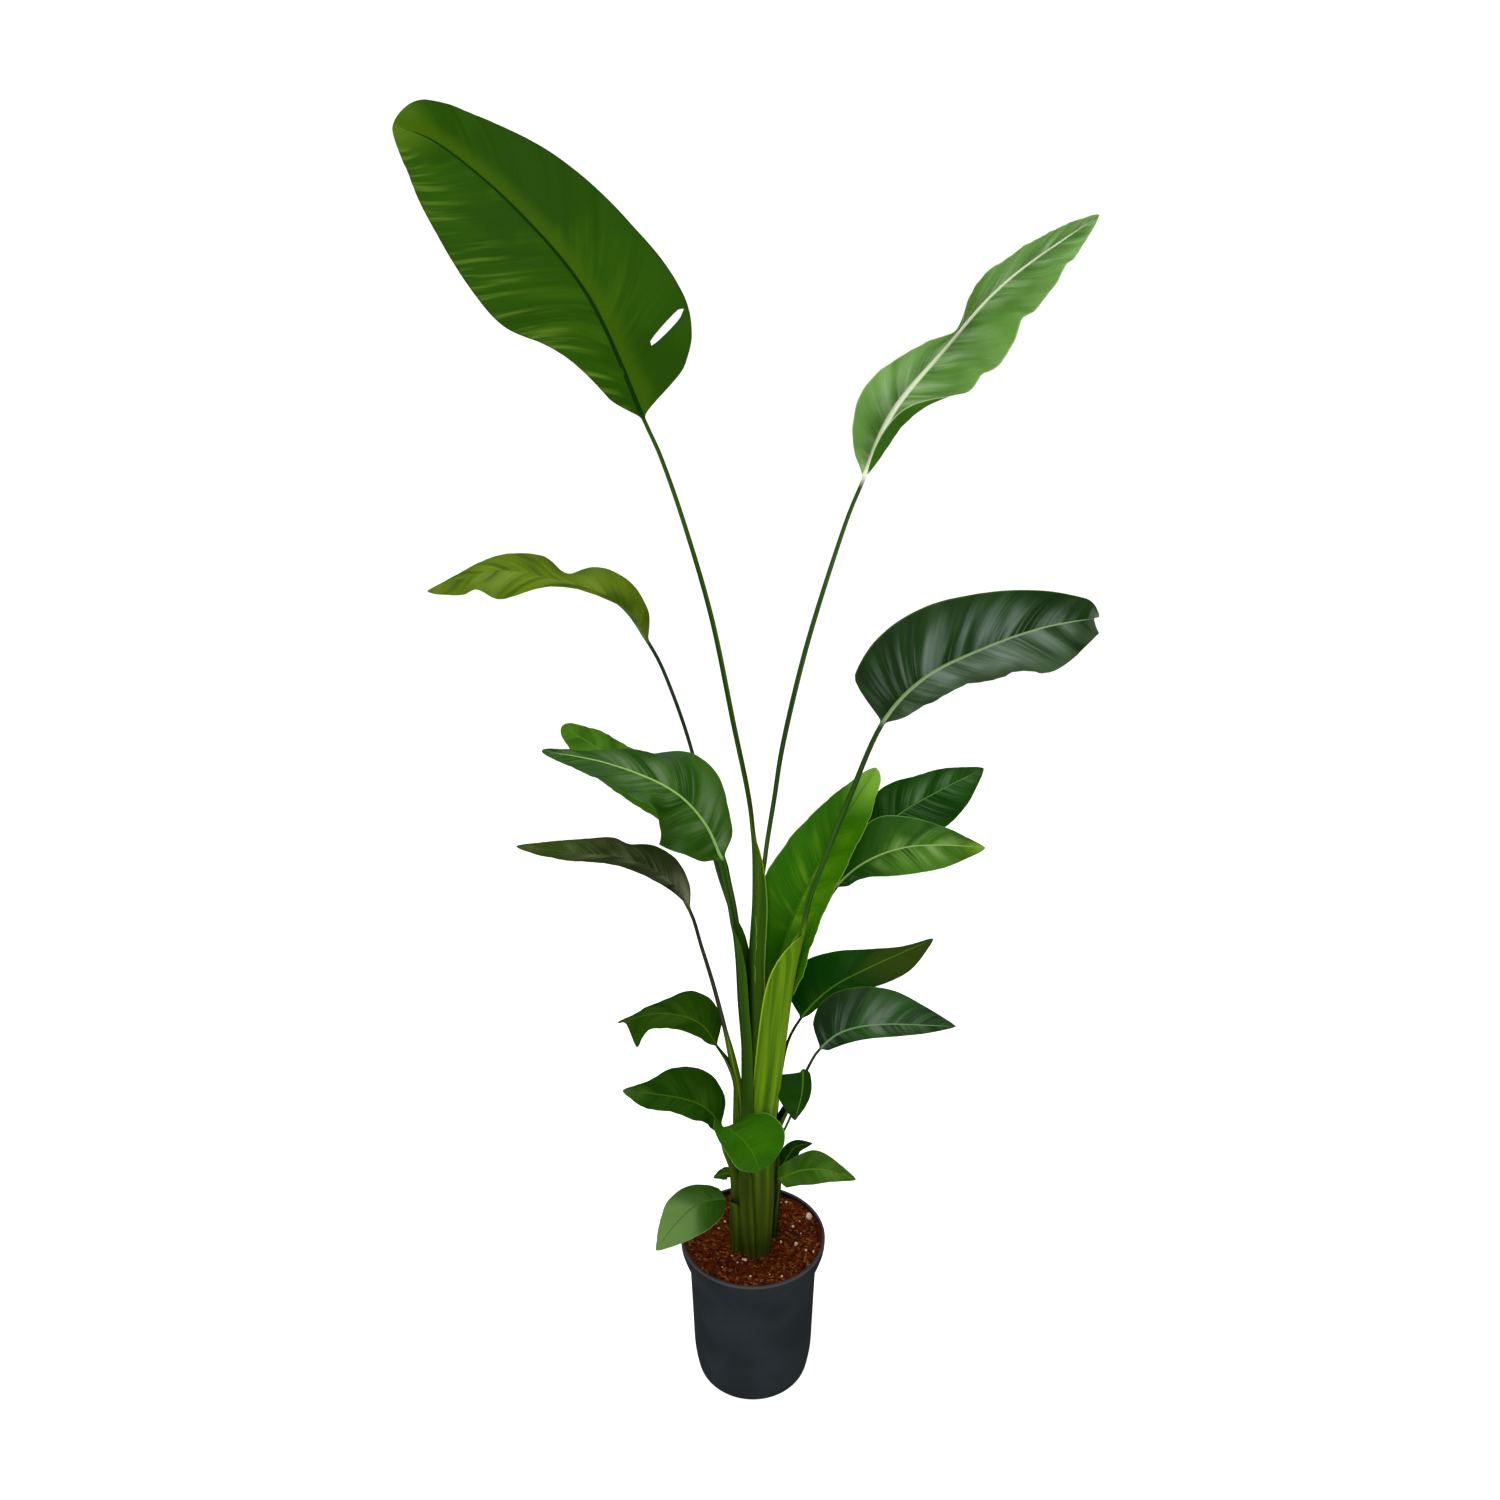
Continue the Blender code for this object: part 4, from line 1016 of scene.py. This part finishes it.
LOOKS = {
    # Its dark midrib is painted shade in the groove, and its paler tip and light streaks are painted
    # highlights
    "leaf_tall_left": DEEP._replace(
        blade=(0.018, 0.066, 0.001), rib=(0.003, 0.026, 0.001), beside=(0.038, 0.09, 0.001),
        tip=(0.075, 0.15, 0.008), rib_width=0.003, stripes=0.4, streaks=0.6,
        edge=(0.012, 0.035, 0.003), gloss=0.02),
    # Its near-white midrib is the rib's own pale colour with a painted highlight on it
    "leaf_tall_right": Look(
        blade=(0.18, 0.36, 0.085), dark=(0.08, 0.21, 0.02), light=(0.5, 0.7, 0.4),
        rib=(0.96, 1.0, 0.8), edge=(0.45, 0.62, 0.3), left=(0.21, 0.4, 0.11),
        stripes=0.8, rib_width=0.0048, gloss=0.15),
    "leaf_upper_left": Look(
        blade=(0.085, 0.15, 0.002), dark=(0.018, 0.045, 0.001), light=(0.15, 0.23, 0.02),
        rib=(0.06, 0.12, 0.005), stripes=0.6, gloss=0.04,
        stalk=((0.014, 0.03, 0.008), (0.04, 0.07, 0.024))),
    "leaf_upper_right": BLUE._replace(
        blade=(0.05, 0.095, 0.04), left=(0.014, 0.048, 0.006), light=(0.16, 0.215, 0.175),
        rib=(0.24, 0.36, 0.15), rib_width=0.0026, stripes=0.8, gloss=0.12,
        sheath=((0.022, 0.08, 0.001), (0.125, 0.24, 0.002)), sheath_edge=(0.3, 0.48, 0.01)),
    "leaf_mid_left_front": Look(
        blade=(0.028, 0.096, 0.003), dark=(0.008, 0.05, 0.001), light=(0.11, 0.185, 0.075),
        rib=(0.26, 0.48, 0.11), rib_width=0.0024, stripes=0.9, gloss=0.12,
        sheath=((0.014, 0.05, 0.001), (0.026, 0.085, 0.001)), sheath_edge=(0.03, 0.09, 0.002)),
    "leaf_mid_left_back": FRESH._replace(blade=(0.07, 0.22, 0.006), light=(0.12, 0.27, 0.03)),
    "leaf_lower_left": Look(
        blade=(0.044, 0.07, 0.008), dark=(0.018, 0.032, 0.002), light=(0.26, 0.29, 0.16),
        rib=(0.09, 0.13, 0.03), tip=(0.036, 0.078, 0.001), tip_from=0.55, stripes=1.0,
        base=(0.08, 0.095, 0.04), base_to=0.6, gloss=0.06, stalk=BROWN_STALK,
        sheath=((0.04, 0.09, 0.001), (0.085, 0.17, 0.002))),
    # Its darker left half is painted shade, and its paler folded tip is a painted highlight
    "leaf_new_centre": Look(
        blade=(0.05, 0.17, 0.001), dark=(0.018, 0.1, 0.001), light=(0.14, 0.3, 0.01),
        base=(0.19, 0.3, 0.006), base_to=0.14,
        rib=(0.04, 0.12, 0.002), edge=(0.27, 0.45, 0.09), tip=(0.2, 0.42, 0.04),
        tip_from=0.75, left=(0.024, 0.125, 0.001), gloss=0.04,
        stalk=((0.12, 0.23, 0.003), (0.26, 0.4, 0.01)),
        sheath=((0.06, 0.15, 0.002), (0.17, 0.3, 0.005))),
    "leaf_mid_right_back": DEEP._replace(
        blade=(0.01, 0.055, 0.001), dark=(0.003, 0.03, 0.001), light=(0.09, 0.17, 0.08),
        rib=(0.08, 0.19, 0.03), stripes=0.8, tip=(0.012, 0.05, 0.001)),
    # Its dark base is painted shade
    "leaf_mid_right_front": FRESH._replace(
        blade=(0.05, 0.16, 0.004), light=(0.2, 0.33, 0.09), dark=(0.006, 0.045, 0.003),
        rib=(0.26, 0.43, 0.11), base=(0.005, 0.05, 0.002), base_to=0.45,
        tip=(0.19, 0.36, 0.02), stripes=0.8, stalk=BROWN_STALK),
    "leaf_low_right_upper": DEEP._replace(
        blade=(0.008, 0.06, 0.001), dark=(0.003, 0.044, 0.001), light=(0.045, 0.1, 0.002),
        base=(0.001, 0.044, 0.0), tip=(0.034, 0.06, 0.002), tip_from=0.4,
        rib=(0.08, 0.2, 0.015), stalk=BROWN_STALK),
    # Its dark base is painted shade
    "leaf_low_right_lower": BLUE._replace(
        blade=(0.012, 0.068, 0.002), base=(0.008, 0.028, 0.01), rib=(0.13, 0.25, 0.09),
        light=(0.12, 0.16, 0.12), gloss=0.12,
        stalk=((0.018, 0.036, 0.006), (0.044, 0.08, 0.014))),
    "leaf_low_right_hanging": DEEP._replace(
        blade=(0.01, 0.05, 0.001), dark=(0.004, 0.03, 0.001)),
    "leaf_low_left_upper": DEEP._replace(
        blade=(0.02, 0.072, 0.001), dark=(0.008, 0.042, 0.001), light=(0.06, 0.125, 0.008)),
    "leaf_low_left_lower": DEEP._replace(
        blade=(0.016, 0.072, 0.001), dark=(0.007, 0.04, 0.001), light=(0.06, 0.13, 0.015),
        tip=(0.06, 0.14, 0.02)),
    "leaf_front_small": FRESH._replace(
        blade=(0.026, 0.125, 0.001), light=(0.06, 0.19, 0.002), rib=(0.06, 0.17, 0.006),
        stripes=0.3, gloss=0.03),
    # Its paler outer part, where the blade bends to face the light, is a painted highlight
    "leaf_base_left": FRESH._replace(
        blade=(0.026, 0.095, 0.003), light=(0.08, 0.17, 0.03), rib=(0.06, 0.15, 0.02),
        tip=(0.13, 0.24, 0.06), tip_from=0.28),
    "leaf_base_left_back": DEEP,
    "leaf_base_right": FRESH._replace(blade=(0.045, 0.13, 0.003), rib=(0.09, 0.2, 0.01)),
    "leaf_base_right_back": DEEP._replace(
        blade=(0.008, 0.048, 0.001), dark=(0.003, 0.028, 0.001)),
}
# Its back is seen, where it is rolled up
ROLLED = Look(blade=(0.034, 0.12, 0.002), dark=(0.016, 0.07, 0.001), light=(0.06, 0.17, 0.006),
              rib=(0.3, 0.48, 0.12), edge=(0.5, 0.68, 0.3), gloss=0.1)
UNDER_TINT = (0.1, 0.19, 0.04)
TINTED = 0.2             # how much of it is in the lower side's colours


def under(name, look):
    """The lower side of a leaf is paler and duller than its upper side."""
    if name == "leaf_tall_right":
        return ROLLED
    pale = {}
    for part in ("blade", "dark", "light", "rib"):
        colours = zip(getattr(look, part), UNDER_TINT)
        pale[part] = tuple((1 - TINTED) * own + TINTED * tint for own, tint in colours)
    return look._replace(**pale, gloss=0.08, rough=0.55, beside=None)


# Pot and soil

POT_WALL = 0.0018
POT_FLOOR = 0.003
POT_SIDES = 160
POT_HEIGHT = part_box("pot")[1][2]
POT_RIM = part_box("pot")[1][0]
# Outside of the pot from its underside up: radius, height
POT_PROFILE = (
    (0.0800, 0.000), (0.0838, 0.0018), (0.0862, 0.007), (0.0908, 0.035), (0.0925, 0.073),
    (0.0940, 0.115), (0.0955, 0.155), (0.0965, 0.172), (0.1000, 0.188), (0.1050, 0.202),
    (0.1090, 0.215), (POT_RIM, 0.224),
)
PROFILE_STEPS = 5
HOLLOW = (0.060, 0.064, 0.0012)    # under the floor: radius of its top and its foot, and height
INSIDE_CORNER = 0.004              # between the floor and the wall
LIP_ROUND = 0.0009
BEAD = 0.0022                      # how far the lip stands in from the wall
SOIL_GAP = 0.0004        # between the soil and the pot
SOIL_RISE = 0.010        # how much higher the soil is at its edge
SOIL_FLAT = 0.040        # radius where it starts to rise
SOIL_SLOPE = 0.060       # and how far from there to its full height
SOIL_RINGS = 60
SOIL_SIDES = 320
SOIL_SIDE_HEIGHTS = (0.205, 0.190, 0.172, 0.155, 0.073)
SOIL_FOOT = 0.079        # radius of its underside
SOIL_SLANT = 0.006       # height of the slanted edge round that
# The lumps of the soil: how many to a metre, how high, and where in the noise
LUMPS = ((60, 0.0022, 0.3), (150, 0.0020, 4.1))
GRAINS = (420, 0.0014, 7.7)
CHIPS = 420
CHIP_LENGTHS = (0.003, 0.009)
CHIP_WIDTHS = (0.12, 0.28)         # as a part of the length
CHIP_LIFT = 0.0004       # how high a chip's middle is over the soil
PERLITE = 16
PERLITE_SIZES = (0.0010, 0.0022)
# Some grains of perlite at the front: x, y, size
PERLITE_FRONT = (
    (0.054, 0.078, 0.0022), (0.088, 0.044, 0.0046), (0.063, 0.028, 0.0028),
    (0.066, -0.009, 0.0029), (0.043, 0.000, 0.0024), (0.080, -0.026, 0.0020),
    (-0.012, -0.036, 0.0028), (-0.004, -0.078, 0.0018), (0.074, 0.012, 0.0015),
)


def fine_profile(points):
    """A smooth line of radius and height through the given points."""
    p = np.array([points[0], *points, points[-1]])
    steps = np.arange(PROFILE_STEPS) / PROFILE_STEPS
    fine = [tuple(cubic(a, b, c, d, f)) for a, b, c, d in zip(p, p[1:], p[2:], p[3:]) for f in steps]
    return [*fine, points[-1]]


def make_pot():
    """The pot, with a rounded lip that is thicker than its wall."""
    outside = fine_profile(POT_PROFILE)
    bead = POT_RIM - POT_WALL - BEAD
    inside = [(r - POT_WALL, z) for r, z in outside if z > POT_FLOOR + INSIDE_CORNER]
    top, foot, height = HOLLOW
    profile = [
        (0, height), (top, height), (foot, 0), *outside,
        (POT_RIM, POT_HEIGHT - LIP_ROUND),
        (POT_RIM - 0.3 * LIP_ROUND, POT_HEIGHT - 0.3 * LIP_ROUND),
        (POT_RIM - LIP_ROUND, POT_HEIGHT), (bead + LIP_ROUND, POT_HEIGHT),
        (bead, POT_HEIGHT - LIP_ROUND / 2), (bead, POT_HEIGHT - BEAD), *inside[::-1],
        (inside[0][0] - INSIDE_CORNER, POT_FLOOR), (0, POT_FLOOR),
    ]
    mesh = turned_mesh([ring(radius, z, POT_SIDES) for radius, z in profile])
    pot = new_object("pot_detail", *mesh, pot_material())
    finish_mesh(pot, sharp=40)
    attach(pot, "root")
    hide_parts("pot")


def bumps(x, y, scale, height, shift):
    return height * noise.noise((x * scale, y * scale, shift))


def soil_height(x, y):
    """Height of the lumpy top of the soil."""
    rise = SOIL_TOP + SOIL_RISE * ease((math.hypot(x, y) - SOIL_FLAT) / SOIL_SLOPE)
    lumps = sum(bumps(x, y, *kind) for kind in LUMPS)
    return float(rise + lumps + abs(bumps(x, y, *GRAINS)))


def inside_radius(z):
    """Radius of the pot's inside at a height."""
    radii, heights = zip(*POT_PROFILE)
    return float(np.interp(z, heights, radii)) - POT_WALL


def make_soil():
    """A body of soil that fills the pot, with a lumpy top."""
    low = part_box("soil")[0][2]
    radii = np.linspace(0, inside_radius(SOIL_TOP + SOIL_RISE) - SOIL_GAP, SOIL_RINGS + 1)
    rings = [[(x, y, soil_height(x, y)) for x, y, z in ring(radius, 0, SOIL_SIDES)]
             for radius in radii]
    rings += [ring(inside_radius(z) - SOIL_GAP, z, SOIL_SIDES)
              for z in (*SOIL_SIDE_HEIGHTS, low + SOIL_SLANT)]
    rings += [ring(SOIL_FOOT, low, SOIL_SIDES), [(0, 0, low)]]
    soil = new_object("soil_detail", *turned_mesh(rings), soil_material())
    finish_mesh(soil, sharp=80)
    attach(soil, "root")
    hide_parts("soil")


def pebble(draw, place, size):
    """Points and faces of a small rough grain: a ball, stretched and dented."""
    bm = bmesh.new()
    bmesh.ops.create_icosphere(bm, subdivisions=2, radius=1)
    stretch = [draw.uniform(0.7, 1.2) for axis in range(3)]
    shift = Vector([draw.uniform(0, 50) for axis in range(3)])
    points = []
    for v in bm.verts:
        dent = 1 + 0.5 * noise.noise(v.co * 1.4 + shift)
        points.append(tuple(v.co[k] * stretch[k] * dent * size + place[k] for k in range(3)))
    faces = [tuple(v.index for v in face.verts) for face in bm.faces]
    bm.free()
    return points, faces


# Rings of a chip: where along its half length, and how wide
CHIP_RINGS = ((-1, 0.4), (-0.3, 1.0), (0.4, 0.8), (1, 0.3))
CHIP_CORNERS = ((-1, -0.5), (1, -0.5), (1, 0.5), (-1, 0.5))


def chip(draw, place, long, thick):
    """Points and faces of a flat chip of coir lying on the soil."""
    turn = draw.uniform(0, math.pi)
    tip = draw.uniform(-0.35, 0.35)
    way = Vector((math.cos(turn) * math.cos(tip), math.sin(turn) * math.cos(tip), math.sin(tip)))
    across = Vector((-math.sin(turn), math.cos(turn), 0))
    up = way.cross(across)
    points = []
    for part, wide in CHIP_RINGS:
        for side, high in CHIP_CORNERS:
            rough = draw.uniform(0.8, 1.2) * thick * wide
            corner = way * (part * long / 2) + across * (side * rough) + up * (high * rough)
            points.append(tuple(Vector(place) + corner))
    faces = [(0, 1, 2, 3), (12, 15, 14, 13)]
    for start in range(0, 12, 4):
        for k in range(4):
            a, b = start + k, start + (k + 1) % 4
            faces.append((a, a + 4, b + 4, b))
    return points, faces


def scattered(draw, count, from_wall):
    """Places on the soil, clear of the pot's wall."""
    reach = inside_radius(SOIL_TOP) - from_wall
    places = []
    while len(places) < count:
        x, y = draw.uniform(-reach, reach), draw.uniform(-reach, reach)
        if math.hypot(x, y) < reach:
            places.append((x, y))
    return places


def make_bits(name, parts, material):
    """One piece of many small bodies."""
    vertices, faces = [], []
    for points, sides in parts:
        faces += [tuple(i + len(vertices) for i in side) for side in sides]
        vertices += points
    obj = new_object(name, vertices, faces, material)
    finish_mesh(obj, sharp=60)
    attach(obj, "root")


def make_soil_bits():
    """Chips of coir and white grains of perlite on the soil."""
    draw = random.Random("soil")
    chips = []
    for x, y in scattered(draw, CHIPS, from_wall=0.006):
        long = draw.uniform(*CHIP_LENGTHS)
        place = (x, y, soil_height(x, y) + CHIP_LIFT)
        chips.append(chip(draw, place, long, long * draw.uniform(*CHIP_WIDTHS)))
    grains = []
    for x, y in scattered(draw, PERLITE, from_wall=0.008):
        size = draw.uniform(*PERLITE_SIZES)
        grains.append(pebble(draw, (x, y, soil_height(x, y) + size * 0.3), size))
    for x, y, size in PERLITE_FRONT:
        grains.append(pebble(draw, (x, y, soil_height(x, y) + size * 0.4), size))
    coir = grain_material("coir", (0.360, 0.130, 0.028), (0.070, 0.016, 0.003), 0.85)
    perlite = grain_material("perlite", (0.950, 0.800, 0.640), (0.600, 0.420, 0.280), 0.8)
    make_bits("soil_chips", chips, coir)
    make_bits("soil_perlite", grains, perlite)


# Camera, light and floor

CAMERA_PLACE = (-0.0045, -1.351, 1.372)
CAMERA_PITCH = 15.5      # degrees down
CAMERA_LENS = 25.2       # mm on a sensor 36 mm wide
# Name, place, size and power
LIGHTS = (
    ("above", (-0.3, 0.0, 3.3), 2.2, 52),
    ("front", (-0.9, -3.2, 2.5), 2.2, 48),
)
LIGHT_TARGET = (0, 0, 0.9)
WORLD_LIGHT = 0.32
WORLD_GLOSS = 0.08       # what glossy surfaces see of it
WORLD_SEEN = 1.1         # and the camera
FLOOR_GLOW = 0.85
FLOOR_SIZE = 30          # half its width
SEED_STEP = 2.3          # so that no two leaves have the same stripes


def stage_camera():
    data = bpy.data.cameras.new("camera")
    data.lens = CAMERA_LENS
    data.sensor_width = 36
    camera = bpy.data.objects.new("camera", data)
    camera.location = CAMERA_PLACE
    camera.rotation_euler = (math.radians(90 - CAMERA_PITCH), 0, 0)
    bpy.context.collection.objects.link(camera)
    bpy.context.scene.camera = camera


def area_light(name, place, size, power):
    data = bpy.data.lights.new(name, "AREA")
    data.shape = "DISK"
    data.size = size
    data.energy = power
    light = bpy.data.objects.new(name, data)
    light.location = place
    way = Vector(LIGHT_TARGET) - Vector(place)
    light.rotation_euler = way.to_track_quat("-Z", "Y").to_euler()
    bpy.context.collection.objects.link(light)


def stage_floor():
    """White paper that glows a little, so that no shadow greys it."""
    n = Nodes("floor")
    paper = n.noise(n.place(), 3.0)
    n.link(n.mix(paper, (0.90, 0.90, 0.90), (0.93, 0.93, 0.93)), n.shader.inputs["Base Color"])
    n.link(0.9, n.shader.inputs["Roughness"])
    n.link((1, 1, 1), n.shader.inputs["Emission Color"])
    n.link(FLOOR_GLOW, n.shader.inputs["Emission Strength"])
    corners = [(x * FLOOR_SIZE, y * FLOOR_SIZE, 0) for x, y in ((-1, -1), (1, -1), (1, 1), (-1, 1))]
    floor = new_object("floor", corners, [(0, 1, 2, 3)], n.material)
    floor.visible_glossy = False


def stage_world():
    """White behind the plant, and a softer white light on it."""
    world = bpy.data.worlds.new("studio")
    world.use_nodes = True
    tree = world.node_tree
    rays = tree.nodes.new("ShaderNodeLightPath")
    shader = tree.nodes["Background"].outputs[0]
    tree.nodes["Background"].inputs["Color"].default_value = (1, 1, 1, 1)
    tree.nodes["Background"].inputs["Strength"].default_value = WORLD_LIGHT
    for ray, strength in (("Is Glossy Ray", WORLD_GLOSS), ("Is Camera Ray", WORLD_SEEN)):
        background = tree.nodes.new("ShaderNodeBackground")
        background.inputs["Color"].default_value = (1, 1, 1, 1)
        background.inputs["Strength"].default_value = strength
        mix = tree.nodes.new("ShaderNodeMixShader")
        tree.links.new(rays.outputs[ray], mix.inputs["Fac"])
        tree.links.new(shader, mix.inputs[1])
        tree.links.new(background.outputs[0], mix.inputs[2])
        shader = mix.outputs[0]
    tree.links.new(shader, tree.nodes["World Output"].inputs["Surface"])
    bpy.context.scene.world = world


def stage_lights():
    for light in LIGHTS:
        area_light(*light)
    scene = bpy.context.scene
    scene.view_settings.view_transform = "Standard"
    scene.view_settings.look = "None"


def main():
    for number, leaf in enumerate(LEAVES):
        look = LOOKS[leaf.name]
        seed = number * SEED_STEP
        make_leaf(in_metres(leaf), leaf_material(leaf.name + "_upper", look, seed),
                  leaf_material(leaf.name + "_under", under(leaf.name, look), seed))
    make_pot()
    make_soil()
    make_soil_bits()
    stage_camera()
    stage_floor()
    stage_world()
    stage_lights()


main()
